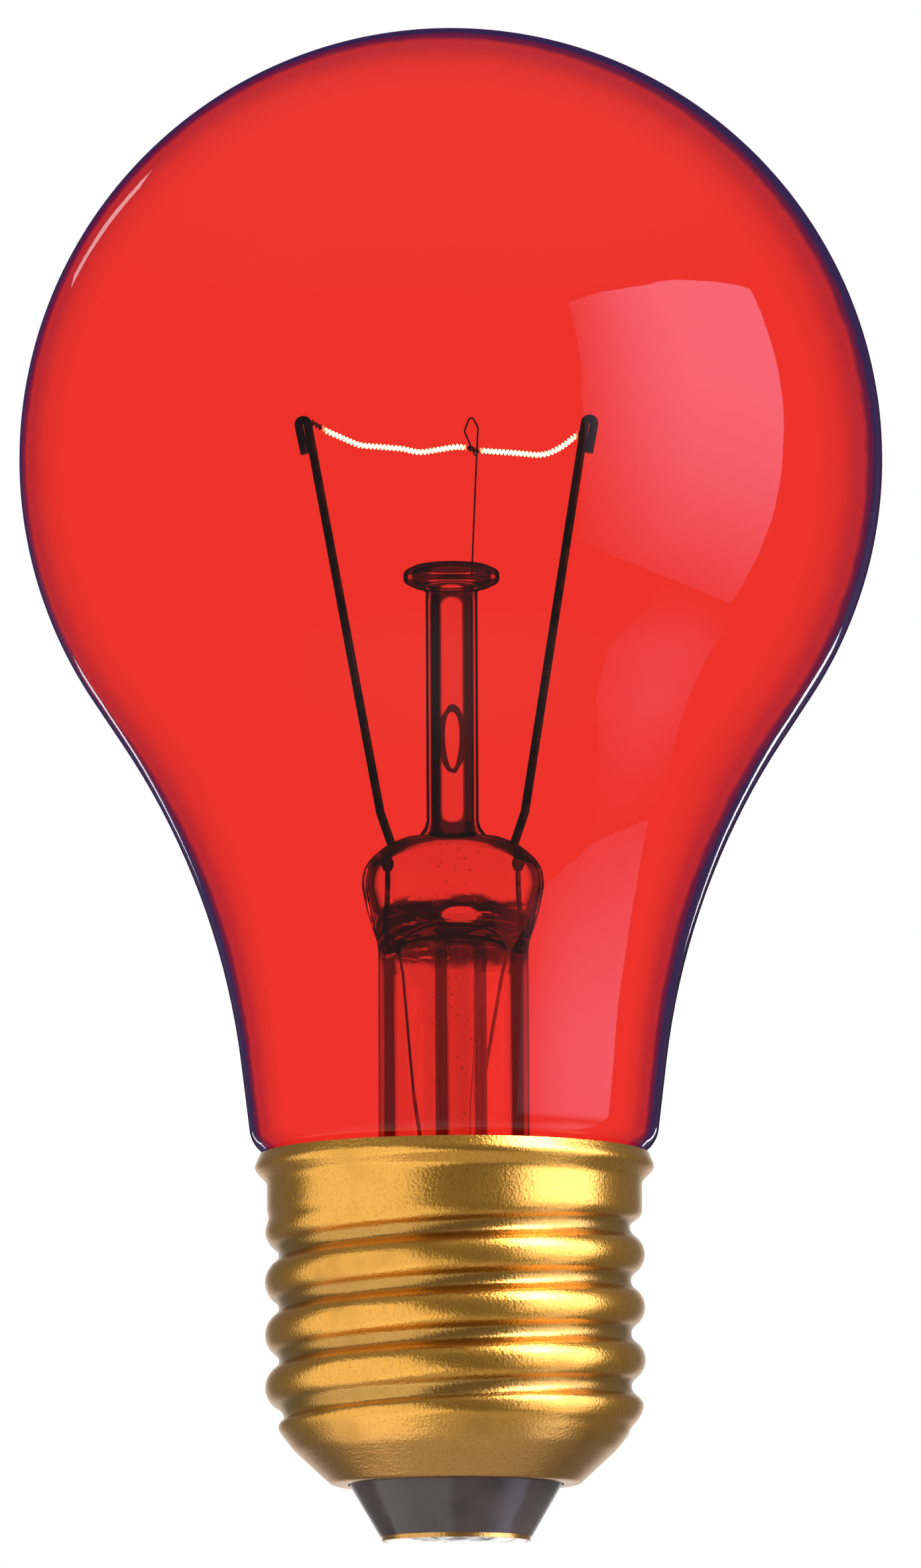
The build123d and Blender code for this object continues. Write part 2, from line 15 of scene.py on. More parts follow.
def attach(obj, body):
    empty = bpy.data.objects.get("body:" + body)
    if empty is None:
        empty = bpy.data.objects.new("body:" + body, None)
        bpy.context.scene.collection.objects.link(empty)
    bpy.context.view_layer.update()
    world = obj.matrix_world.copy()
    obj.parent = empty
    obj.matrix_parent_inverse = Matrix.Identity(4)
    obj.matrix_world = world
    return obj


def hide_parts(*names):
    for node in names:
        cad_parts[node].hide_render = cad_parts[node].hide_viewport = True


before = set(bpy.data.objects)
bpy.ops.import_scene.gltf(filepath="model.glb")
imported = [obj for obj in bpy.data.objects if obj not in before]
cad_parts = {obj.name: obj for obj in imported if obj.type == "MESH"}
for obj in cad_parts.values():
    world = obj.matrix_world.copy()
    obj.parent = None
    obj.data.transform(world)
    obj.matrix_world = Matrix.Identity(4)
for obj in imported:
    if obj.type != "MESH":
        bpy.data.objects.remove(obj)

LOG = logging.getLogger("bulb")
MM = 0.001
BODY = "root"
TINY = 1e-6                       # a radius below this is a point
SHARP_DEGREES = 40                # edges that turn more than this stay sharp
CAD_SHARP_DEGREES = 35
SMOOTH = {"interpolation_type": "SMOOTHSTEP"}
WHITE = "FFFFFF"
Path = list[Vector]
Span = tuple[float, float]
Oval = tuple[float, float, float, float]  # middle across and in height, half width and half height
Socket = bpy.types.NodeSocket
Material = bpy.types.Material
Piece = bpy.types.Object


class Slot(Enum):
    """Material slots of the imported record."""

    RED_GLASS = "red_glass"
    STEM_GLASS = "stem_glass"
    FILAMENT = "filament_metal"
    BRASS = "cap_brass"


def linear(code: str) -> tuple[float, float, float, float]:
    """Turn an sRGB hex colour into the linear values that a shader takes.

    Args:
        code: six hex digits.

    Returns:
        Linear red, green and blue, and an alpha of 1.
    """
    shares = [int(code[i : i + 2], 16) / 255 for i in (0, 2, 4)]
    red, green, blue = (s / 12.92 if s <= 0.04045 else ((s + 0.055) / 1.055) ** 2.4 for s in shares)
    return red, green, blue, 1.0


class Recipe:
    """Shader nodes of one material, lamp or world."""

    def __init__(self, tree: bpy.types.NodeTree) -> None:
        """Start from an empty tree."""
        tree.nodes.clear()
        self.tree = tree

    @property
    def place(self) -> Socket:
        """Place on the piece, in metres."""
        return self.add("TexCoord", give="Object")

    def add(self, kind: str, *values: object, give: int | str = 0, stops: Sequence[tuple] = (),
            **settings: object) -> Socket | None:
        """Add one node with its settings, values and links.

        Args:
            kind: Blender's name of the node without its prefix, and its operation where it has one.
            values: number, hex colour or socket for each input in turn, or one dict of them by input.
            give: name or number of the output that comes back.
            stops: places and shades of a colour ramp, in order, each shade a hex colour or a grey.
            settings: other properties of the node.

        Returns:
            The output's socket, or None for a node without outputs.
        """
        kind, *operation = kind.split()
        node = self.tree.nodes.new("ShaderNode" + kind)
        if operation:
            node.operation = operation[0]
        for name, value in settings.items():
            setattr(node, name, value)
        inputs = values[0] if values and isinstance(values[0], dict) else dict(enumerate(values))
        for key, value in inputs.items():
            if isinstance(value, Socket):
                self.tree.links.new(value, node.inputs[key])
            else:
                node.inputs[key].default_value = linear(value) if isinstance(value, str) else value
        if stops:
            elements = node.color_ramp.elements
            elements.remove(elements[1])
            elements[0].position = stops[0][0]
            for place, _ in stops[1:]:
                elements.new(place)
            for element, (_, shade) in zip(elements, stops):
                element.color = linear(shade) if isinstance(shade, str) else (shade, shade, shade, 1.0)
        return node.outputs[give] if node.outputs else None


def rounded(corners: Sequence[Sequence[float]], radii: Sequence[float], turn_step: float = 6.0) -> Path:
    """Round the corners of a run of straight lines.

    Args:
        corners: points of the run, in two or three dimensions.
        radii: arc radius at each inner corner.
        turn_step: degrees between points on an arc.

    Returns:
        Points of the rounded run.
    """
    points = [Vector(c).to_3d() for c in corners]
    path = [points[0]]
    for before, corner, after, radius in zip(points, points[1:], points[2:], radii):
        into, out = (corner - before).normalized(), (after - corner).normalized()
        turn = into.angle(out)
        if turn < 1e-4 or radius <= 0:
            path.append(corner)
            continue
        reach = radius * math.tan(turn / 2)
        middle = corner + (out - into).normalized() * (radius / math.cos(turn / 2))
        start = corner - into * reach - middle
        axis = into.cross(out).normalized()
        steps = max(2, math.ceil(math.degrees(turn) / turn_step))
        path += [middle + Matrix.Rotation(turn * k / steps, 3, axis) @ start for k in range(steps + 1)]
    return [*path, points[-1]]


def resampled(path: Path, count: int) -> Path:
    """Spread points evenly along a path.

    Args:
        path: points of the path.
        count: how many points come back.

    Returns:
        Evenly spaced points, the ends among them.
    """
    places = np.array([tuple(p) for p in path])
    along = np.concatenate([[0], np.cumsum(np.linalg.norm(np.diff(places, axis=0), axis=1))])
    marks = np.linspace(0, along[-1], count)
    return [Vector([float(np.interp(m, along, places[:, i])) for i in range(3)]) for m in marks]


def offset_inside(path: Path, depth: float) -> Path:
    """Move a flat outline sideways, to the right of the way that it runs.

    Args:
        path: outline in radius and height.
        depth: how far it moves.

    Returns:
        The moved outline.
    """
    moved = []
    for k, point in enumerate(path):
        way = (path[min(k + 1, len(path) - 1)] - path[max(k - 1, 0)]).normalized()
        moved.append(point + Vector((way.y, -way.x, 0)) * depth)
    return moved


def mesh_piece(name: str, points: Sequence[Sequence[float]], faces: Sequence[Sequence[int]],
               materials: Sequence[Material], slots: Sequence[int] = ()) -> Piece:
    """Make a smooth mesh object from points in millimetres.

    Args:
        name: name of the piece.
        points: places of its points.
        faces: point numbers of each face.
        materials: its materials.
        slots: number of each face's material, or nothing where all take the first.

    Returns:
        The object, in the scene.
    """
    mesh = bpy.data.meshes.new(name)
    mesh.from_pydata([Vector(p) * MM for p in points], [], faces)
    for material in materials:
        mesh.materials.append(material)
    for polygon in mesh.polygons:
        polygon.use_smooth = True
        polygon.material_index = slots[polygon.index] if slots else 0
    shape = bmesh.new()
    shape.from_mesh(mesh)
    bmesh.ops.recalc_face_normals(shape, faces=shape.faces)
    shape.to_mesh(mesh)
    shape.free()
    mesh.set_sharp_from_angle(angle=math.radians(SHARP_DEGREES))
    piece = bpy.data.objects.new(name, mesh)
    bpy.context.scene.collection.objects.link(piece)
    return piece


def turned(name: str, rows: Sequence[Sequence[float]], materials: Sequence[Material],
           segments: int = 128, closed: bool = True, x: float = 0.0) -> Piece:
    """Make a turned piece, or one with oval sections, from its outline.

    Args:
        name: name of the piece.
        rows: radius, height and material number along the outline, then the half depth where it is oval.
        materials: its materials.
        segments: faces round the axis.
        closed: whether the outline closes on itself.
        x: where its axis stands.

    Returns:
        The object.
    """
    points, rings, faces, slots = [], [], [], []
    for radius, height, _, *depth in rows:
        if radius < TINY:
            rings.append([len(points)] * segments)
            points.append((x, 0, height))
            continue
        rings.append(list(range(len(points), len(points) + segments)))
        deep = depth[0] if depth else radius
        for k in range(segments):
            angle = 2 * math.pi * k / segments
            points.append((x + radius * math.cos(angle), deep * math.sin(angle), height))
    pairs = list(zip(range(len(rings)), range(1, len(rings)))) + ([(len(rings) - 1, 0)] if closed else [])
    for low, high in pairs:
        for k in range(segments):
            after = (k + 1) % segments
            corners = [rings[low][k], rings[low][after], rings[high][after], rings[high][k]]
            face = list(dict.fromkeys(corners))
            if len(face) > 2:
                faces.append(face)
                slots.append(rows[low][2])
    return mesh_piece(name, points, faces, materials, slots)


def swept(name: str, path: Path, radius: float, material: Material, sides: int) -> Piece:
    """Make a round wire along a path.

    Args:
        name: name of the piece.
        path: points of its middle, in millimetres.
        radius: its radius.
        material: its finish.
        sides: faces round the wire.

    Returns:
        The object.
    """
    points, faces = [], []
    way = (path[1] - path[0]).normalized()
    side = way.orthogonal().normalized()
    last = len(path) - 1
    for k, place in enumerate(path):
        ahead = (path[min(k + 1, last)] - path[max(k - 1, 0)]).normalized()
        side = (way.rotation_difference(ahead) @ side).normalized()
        way = ahead
        for s in range(sides):
            points.append(place + Matrix.Rotation(2 * math.pi * s / sides, 3, way) @ side * radius)
    for k in range(last):
        for s in range(sides):
            after = (s + 1) % sides
            low, high = k * sides, (k + 1) * sides
            faces.append([low + s, low + after, high + after, high + s])
    faces += [list(range(sides))[::-1], list(range(last * sides, (last + 1) * sides))]
    return mesh_piece(name, points, faces, (material,))


def seat(piece: Piece, node: str) -> None:
    """Let a piece ride on the lamp and stand for a CAD node.

    Args:
        piece: the piece.
        node: node that it replaces.
    """
    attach(piece, BODY)
    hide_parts(node)
    LOG.info("%s: %d faces, stands for %s", piece.name, len(piece.data.polygons), node)


def dress(node: str, material: Material) -> None:
    """Give a CAD node its finish.

    Args:
        node: name of the node.
        material: the finish's material.
    """
    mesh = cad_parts[node].data
    mesh.materials.clear()
    mesh.materials.append(material)
    for polygon in mesh.polygons:
        polygon.use_smooth = True
        polygon.material_index = 0
    mesh.set_sharp_from_angle(angle=math.radians(CAD_SHARP_DEGREES))
    LOG.info("%s: kept from the CAD model", node)


@dataclass(frozen=True)
class Finish:
    """A finish, which makes one material of its own name."""

    name: str

    def shader(self, mix: Recipe) -> Socket:
        """Leave the surface to each finish."""
        raise NotImplementedError

    def material(self) -> Material:
        """Build the finish's material.

        Returns:
            The material.
        """
        material = bpy.data.materials.new(self.name)
        material.use_nodes = True
        mix = Recipe(material.node_tree)
        mix.add("OutputMaterial", self.shader(mix))
        return material


def thin_glass(mix: Recipe, tint: Socket | str, gloss: Socket | float, shine: dict) -> Socket:
    """Let light straight through a tint, under a gloss.

    Args:
        mix: the material's recipe.
        tint: colour that it lets through.
        gloss: share that it reflects.
        shine: roughness of the gloss, and its normal where it is waved.

    Returns:
        The surface.
    """
    return mix.add("MixShader", gloss, mix.add("BsdfTransparent", tint), mix.add("BsdfGlossy", shine))


def solid_glass(mix: Recipe, tint: Socket | str, ior: float, **relief: Socket) -> Socket:
    """Bend light through a tint.

    Args:
        mix: the material's recipe.
        tint: colour that it lets through.
        ior: its refractive index.
        relief: its normal where it is waved.

    Returns:
        The surface.
    """
    glass = {"Base Color": tint, "Transmission Weight": 1.0, "Roughness": 0.0, "IOR": ior}
    return mix.add("BsdfPrincipled", glass | relief)


@dataclass(frozen=True)
class RedStainedGlass(Finish):
    """Soda-lime bulb glass, blown in a mould and stained red through its thickness.

    It lets a flat clear red through, shows lamps as crisp pale shapes and turns dark at its rims, partly from
    the longer way through the red wall and partly as painted shade for the dark room that a real rim bends
    into view.
    """

    name: str = "red_stained_glass"
    # one wall's tint, two of which make the red that is seen, from face on to edge on; the violet and navy
    # stops at the edge are partly painted shade for the dark room seen through the rim
    tints: tuple[tuple[float, str], ...] = (
        (0.46, "FA7167"), (0.565, "F26E66"), (0.66, "DF626C"), (0.715, "DF626C"), (0.755, "A5407C"),
        (0.785, "A5407C"), (0.81, "755F8C"), (0.90, "755F8C"), (1.0, "5A3E66"),
    )
    # share that it reflects, from face on to edge on
    gloss: tuple[Span, ...] = (
        (0.0, 0.055), (0.6, 0.06), (0.75, 0.075), (0.84, 0.05), (0.92, 0.015),
    )
    roughness: float = 0.02
    wave_mm: float = 7.0          # length of the blown wall's soft waves
    ripple_mm: float = 1.6
    ripple_height: float = 0.06   # share of the waves' height
    wave_bump: float = 0.10
    uneven: float = 0.05          # how far the ripples shift the tint
    start: float = -0.075         # where the tint's shift starts from
    right_side: float = 0.05      # the rim darkens a little sooner towards the right
    radius_mm: float = 30.0
    neck: float = 0.11            # the rim darkens sooner on the narrower neck
    neck_mm: Span = (62.0, 42.0)
    turning: Span = (0.2, 0.6)    # face on, these shifts don't show

    def shader(self, mix: Recipe) -> Socket:
        """Tint the wall by its slope and thickness.

        Args:
            mix: the material's recipe.

        Returns:
            The surface.
        """
        place = mix.place
        waves = mix.add("TexNoise", {"Vector": place, "Scale": 1 / (self.wave_mm * MM), "Detail": 1.0})
        ripples = mix.add("TexNoise", {"Vector": place, "Scale": 1 / (self.ripple_mm * MM), "Detail": 2.0})
        height = mix.add("Math MULTIPLY_ADD", ripples, self.ripple_height, waves)
        bump = mix.add("Bump", {"Height": height, "Strength": self.wave_bump, "Distance": 0.5 * MM})
        facing = mix.add("LayerWeight", give="Facing")
        x, z = (mix.add("SeparateXYZ", place, give=axis) for axis in "XZ")
        shift = mix.add("Math MULTIPLY_ADD", ripples, self.uneven, self.start)
        shift = mix.add("Math MULTIPLY_ADD", x, self.right_side / (self.radius_mm * MM), shift)
        neck = mix.add("MapRange", z, *(mark * MM for mark in self.neck_mm), **SMOOTH)
        shift = mix.add("Math MULTIPLY_ADD", neck, self.neck, shift)
        shift = mix.add("Math MULTIPLY", shift, mix.add("MapRange", facing, *self.turning, **SMOOTH))
        # darker towards the rim: partly the longer way through the wall, partly painted shade for the dark
        # room bent into view
        tint = mix.add("ValToRGB", mix.add("Math ADD", shift, facing), stops=self.tints)
        outside = mix.add("Math SUBTRACT", 1.0, mix.add("NewGeometry", give="Backfacing"))
        gloss = mix.add("Math MULTIPLY", mix.add("ValToRGB", facing, stops=self.gloss), outside)
        return thin_glass(mix, tint, gloss, {"Roughness": self.roughness, "Normal": bump})


@dataclass(frozen=True)
class InnerGlassSkin(Finish):
    """Inside face of the blown wall: clear, with a very faint gloss that fades towards its rim."""

    name: str = "inner_glass_skin"
    tint: str = "FEFAFA"
    gloss: float = 0.006
    roughness: float = 0.05

    def shader(self, mix: Recipe) -> Socket:
        """Let light through under a faint gloss.

        Args:
            mix: the material's recipe.

        Returns:
            The surface.
        """
        facing = mix.add("LayerWeight", give="Facing")
        gloss = mix.add("Math MULTIPLY_ADD", facing, -self.gloss, self.gloss)
        return thin_glass(mix, self.tint, gloss, {"Roughness": self.roughness})


@dataclass(frozen=True)
class LeadGlass(Finish):
    """Drawn lead glass of the stem: clear in the middle, with dark bands where its wall is seen edge on,
    painted as the shade of the dark room that the wall bends into view.
    """

    name: str = "lead_glass"
    clear: str = "F6F2EE"
    # painted shade for the dark room that the edge-on wall bends into view
    band: str = "241020"
    line: str = "A88E9C"          # the thin pale line between the bands, a painted glint of the white backdrop that the wall bends into view
    band_from: float = 0.14
    band_to: float = 0.42
    ior: float = 1.5
    streak_mm: float = 1.2        # drawing streaks run along the tube
    streak_stretch: float = 0.08
    streak_share: float = 0.10

    def slope(self, mix: Recipe, place: Socket) -> Socket:
        """Work out how far the wall turns away, a little uneven along the drawing streaks.

        Args:
            mix: the material's recipe.
            place: place on the lamp.

        Returns:
            Socket from 0 face on to 1 edge on.
        """
        drawn = mix.add("Mapping", {"Vector": place, "Scale": (1, 1, self.streak_stretch)})
        streaks = mix.add("TexNoise", {"Vector": drawn, "Scale": 1 / (self.streak_mm * MM)})
        uneven = mix.add("Math MULTIPLY_ADD", streaks, self.streak_share, -self.streak_share / 2)
        return mix.add("Math ADD", mix.add("LayerWeight", give="Facing"), uneven)

    def tint(self, mix: Recipe, slope: Socket) -> Socket:
        """Colour the clear middle, the painted dark bands and the painted pale line between them.

        Args:
            mix: the material's recipe.
            slope: how far the wall turns away.

        Returns:
            The colour.
        """
        line = self.band_to + 0.07
        return mix.add("ValToRGB", slope, stops=(
            (self.band_from - 0.03, self.clear), (self.band_from + 0.03, self.band),
            (self.band_to, self.band), (line, self.line), (line + 0.08, self.line),
            (line + 0.14, self.band), (1.0, self.band),
        ))

    def marked(self, mix: Recipe, tint: Socket, mask: Socket) -> Socket:
        """Paint the dark band's shade where the glass is folded or melted thick, for the light that these
        lumps bend away.

        Args:
            mix: the material's recipe.
            tint: the plain colour.
            mask: 1 where it is dark.

        Returns:
            The colour.
        """
        return mix.add("Mix", {0: mask, 6: tint, 7: self.band}, give=2, data_type="RGBA")

    def oval(self, mix: Recipe, x: Socket, z: Socket, size: Oval) -> Socket:
        """Measure how far out of an oval a place is, with 1 on its rim.

        Args:
            mix: the material's recipe.
            x: place across.
            z: place in height.
            size: the oval, in millimetres.

        Returns:
            The measure.
        """
        squares = []
        for at, middle, half in ((x, size[0], size[2]), (z, size[1], size[3])):
            share = mix.add("Math DIVIDE", mix.add("Math SUBTRACT", at, middle * MM), half * MM)
            squares.append(mix.add("Math MULTIPLY", share, share))
        return mix.add("Math ADD", *squares)

    def shader(self, mix: Recipe) -> Socket:
        """Make the round tube's glass."""
        return solid_glass(mix, self.tint(mix, self.slope(mix, mix.place)), self.ior)


@dataclass(frozen=True)
class PinchedLeadGlass(LeadGlass):
    """Lead glass pinched hot into the press: folds painted dark as the shade of the light that they bend
    away, a bright port between them and fine specks.
    """

    name: str = "pinched_lead_glass"
    band_from: float = 0.36
    band_to: float = 0.60
    press_mm: Span = (41.0, 44.5)
    press_lift: float = 0.17      # the flat press turns away sooner than the round tube
    warp_mm: float = 2.6
    warp_lift_mm: float = 2.2
    arch: float = 18.0            # the folds' upper edge sags towards the sides
    upper_mm: Span = (43.65, 43.25)
    lower_mm: Span = (39.4, 40.2)
    port_mm: Oval = (0.45, 43.25, 1.25, 0.66)
    port_edge: Span = (0.85, 1.05)
    fold_edge: Span = (0.66, 0.60)
    fold_stretch: tuple[float, float, float] = (0.35, 0.35, 1.6)
    fold_turn: float = 0.35
    speck_edge: Span = (0.16, 0.10)
    fold_mm: float = 0.8
    speck_mm: float = 0.55
    speck_span_mm: Span = (1.9, 1.2)
    speck_share: float = 0.8

    def folds(self, mix: Recipe, place: Socket) -> Socket:
        """Work out where the pinched glass is folded, which is where its painted shade goes.

        Args:
            mix: the material's recipe.
            place: place on the lamp.

        Returns:
            Socket that is 1 in the dark folds.
        """
        x, z = (mix.add("SeparateXYZ", place, give=axis) for axis in "XZ")
        warp = mix.add("TexNoise", {"Vector": place, "Scale": 1 / (self.warp_mm * MM), "Detail": 3.0})
        lifted = mix.add("Math MULTIPLY_ADD", warp, -self.warp_lift_mm * MM, z)
        arch = mix.add("Math MULTIPLY_ADD", mix.add("Math MULTIPLY", x, x), self.arch, lifted)
        upper = mix.add("MapRange", arch, *(mark * MM for mark in self.upper_mm), **SMOOTH)
        lower = mix.add("MapRange", lifted, *(mark * MM for mark in self.lower_mm), **SMOOTH)
        port = mix.add("MapRange", self.oval(mix, x, z, self.port_mm), *self.port_edge, **SMOOTH)
        lie = {"Vector": place, "Scale": self.fold_stretch, "Rotation": (0, self.fold_turn, 0)}
        drawn = mix.add("Mapping", lie)
        scale = 1 / (self.fold_mm * MM)
        folds = mix.add("TexNoise", {"Vector": drawn, "Scale": scale, "Detail": 2.0, "Distortion": 0.8})
        light = mix.add("MapRange", folds, *self.fold_edge, **SMOOTH)
        zone, holes = mix.add("Math MULTIPLY", upper, lower), mix.add("Math MULTIPLY", port, light)
        dots = mix.add("TexVoronoi", {"Vector": place, "Scale": 1 / (self.speck_mm * MM)}, give="Distance")
        span = (aside * MM for aside in self.speck_span_mm)
        near = mix.add("MapRange", mix.add("Math ABSOLUTE", x), *span, **SMOOTH)
        specks = mix.add("Math MULTIPLY", mix.add("MapRange", dots, *self.speck_edge, **SMOOTH), near)
        specks = mix.add("Math MULTIPLY", specks, self.speck_share)
        return mix.add("Math MAXIMUM", mix.add("Math MULTIPLY", zone, holes), specks)

    def shader(self, mix: Recipe) -> Socket:
        """Make the press's glass.

        Args:
            mix: the material's recipe.

        Returns:
            The surface.
        """
        place = mix.place
        height = mix.add("SeparateXYZ", place, give="Z")
        flat = mix.add("MapRange", height, *(z * MM for z in self.press_mm), **SMOOTH)
        slope = mix.add("Math MULTIPLY_ADD", flat, self.press_lift, self.slope(mix, place))
        return solid_glass(mix, self.marked(mix, self.tint(mix, slope), self.folds(mix, place)), self.ior)


@dataclass(frozen=True)
class ArborGlass(LeadGlass):
    """Lead glass drawn into the thin arbor: it shows what is behind it unbent, between violet bands painted
    as the shade of the dark room that its edge-on wall bends into view.
    """

    name: str = "drawn_arbor_glass"
    clear: str = WHITE
    # painted shade of the bent-in dark room, and a painted glint of the white backdrop between the bands
    band: str = "54447C"
    line: str = "EFE6EC"
    band_from: float = 0.11
    band_to: float = 0.40
    streak_share: float = 0.03
    gloss: float = 0.03
    roughness: float = 0.04
    hole_mm: Oval = (0.0, 55.7, 0.95, 2.35)
    rim_edges: tuple[Span, Span] = ((1.34, 1.22), (0.72, 0.84))
    wobble_mm: float = 0.9
    wobble: float = 0.5

    def melted_rim(self, mix: Recipe, place: Socket) -> Socket:
        """Work out where the flame melted the wall into a thick rim round the pumped hole.

        Args:
            mix: the material's recipe.
            place: place on the lamp.

        Returns:
            Socket that is 1 on the rim.
        """
        x, y, z = (mix.add("SeparateXYZ", place, give=axis) for axis in "XYZ")
        wobble = mix.add("TexNoise", {"Vector": place, "Scale": 1 / (self.wobble_mm * MM)})
        apart = mix.add("Math MULTIPLY_ADD", wobble, self.wobble, self.oval(mix, x, z, self.hole_mm))
        outer, inner = (mix.add("MapRange", apart, *span, **SMOOTH) for span in self.rim_edges)
        ring = mix.add("Math MULTIPLY", inner, outer)
        return mix.add("Math MULTIPLY", ring, mix.add("Math LESS_THAN", y, 0.0))

    def shader(self, mix: Recipe) -> Socket:
        """Make the arbor's glass.

        Args:
            mix: the material's recipe.

        Returns:
            The surface.
        """
        place = mix.place
        # the melted rim round the hole takes the painted shade of the bands
        tint = self.marked(mix, self.tint(mix, self.slope(mix, place)), self.melted_rim(mix, place))
        return thin_glass(mix, tint, self.gloss, {"Roughness": self.roughness})


@dataclass(frozen=True)
class BoreGlass(Finish):
    """Inside of the stem's tubes: plain clear glass, a little waved by the drawing."""

    name: str = "bore_glass"
    clear: str = "FAF6F4"
    ior: float = 1.5
    wave_mm: float = 1.5
    wave_bump: float = 0.05

    def waves(self, mix: Recipe) -> Socket:
        """Give the normal of the waved bore.

        Args:
            mix: the material's recipe.

        Returns:
            The normal.
        """
        grain = mix.add("TexNoise", {"Vector": mix.place, "Scale": 1 / (self.wave_mm * MM)})
        return mix.add("Bump", {"Height": grain, "Strength": self.wave_bump, "Distance": 0.1 * MM})

    def shader(self, mix: Recipe) -> Socket:
        """Bend light through the clear glass."""
        return solid_glass(mix, self.clear, self.ior, Normal=self.waves(mix))


@dataclass(frozen=True)
class ArborBoreGlass(BoreGlass):
    """Bore of the arbor: it shows what is behind it unbent."""

    name: str = "arbor_bore_glass"
    clear: str = WHITE
    gloss: float = 0.02
    roughness: float = 0.05

    def shader(self, mix: Recipe) -> Socket:
        """Let light straight through under a faint gloss."""
        shine = {"Roughness": self.roughness, "Normal": self.waves(mix)}
        return thin_glass(mix, self.clear, self.gloss, shine)


@dataclass(frozen=True)
class DrawnWire(Finish):
    """Drawn wire: a metal with fine lengthwise die lines and patches of oxide."""

    bright: str
    oxide: str
    roughness: float
    patch_mm: float
    oxide_roughness: float = 0.25  # what the oxide adds
    die_line_mm: float = 0.08
    die_line_stretch: float = 0.05
    die_line_bump: float = 0.35

    def shader(self, mix: Recipe) -> Socket:
        """Make the wire's metal.

        Args:
            mix: the material's recipe.

        Returns:
            The surface.
        """
        place = mix.place
        patches = mix.add("TexNoise", {"Vector": place, "Scale": 1 / (self.patch_mm * MM), "Detail": 4.0})
        drawn = mix.add("Mapping", {"Vector": place, "Scale": (1, 1, self.die_line_stretch)})
        lines = mix.add("TexNoise", {"Vector": drawn, "Scale": 1 / (self.die_line_mm * MM)})
        share = mix.add("MapRange", patches, 0.38, 0.62, **SMOOTH)
        bump = mix.add("Bump", {"Height": lines, "Strength": self.die_line_bump, "Distance": 0.02 * MM})
        return mix.add("BsdfPrincipled", {
            "Base Color": mix.add("Mix", {0: share, 6: self.bright, 7: self.oxide}, give=2, data_type="RGBA"),
            "Roughness": mix.add("Math MULTIPLY_ADD", share, self.oxide_roughness, self.roughness),
            "Metallic": 1.0, "Normal": bump,
        })


@dataclass(frozen=True)
class GlowingTungsten(Finish):
    """Coiled tungsten wire at white heat, hottest in the middle of each run and cooler at its holders."""

    name: str = "glowing_tungsten"
    glow: str = "FFE6B4"
    cool: str = "6A3A1C"
    strength: float = 20.0
    mirrored: float = 0.05        # share of its light that shiny surfaces show again
    roughness: float = 0.45
    hold_x_mm: float = 1.55       # where the anchor cools it
    cold_mm: Span = (0.385, 0.88)
    left_mm: Span = (-9.0, -8.4)  # where it warms up beside each lead
    right_mm: Span = (8.9, 8.4)
    grain_mm: float = 0.3

    def shader(self, mix: Recipe) -> Socket:
        """Make the glowing wire.

        Args:
            mix: the material's recipe.

        Returns:
            The surface.
        """
        place = mix.place
        x = mix.add("SeparateXYZ", place, give="X")
        aside = mix.add("Math ABSOLUTE", mix.add("Math SUBTRACT", x, self.hold_x_mm * MM))
        spans = ((aside, self.cold_mm), (x, self.left_mm), (x, self.right_mm))
        middle, left, right = (mix.add("MapRange", at, a * MM, b * MM, **SMOOTH) for at, (a, b) in spans)
        heat = mix.add("Math MULTIPLY", middle, mix.add("Math MULTIPLY", left, right))
        grain = mix.add("TexNoise", {"Vector": place, "Scale": 1 / (self.grain_mm * MM)})
        heat = mix.add("Math MULTIPLY", heat, mix.add("Math MULTIPLY_ADD", grain, 0.5, 0.75))
        again = mix.add("LightPath", give="Is Glossy Ray")
        seen = mix.add("Math MULTIPLY_ADD", again, self.mirrored - 1, 1.0)
        bump = mix.add("Bump", {"Height": grain, "Strength": 0.2, "Distance": 0.01 * MM})
        strength = mix.add("Math MULTIPLY", mix.add("Math MULTIPLY", heat, self.strength), seen)
        return mix.add("BsdfPrincipled", {
            "Base Color": self.cool, "Metallic": 1.0, "Roughness": self.roughness, "Normal": bump,
            "Emission Color": self.glow, "Emission Strength": strength,
        })


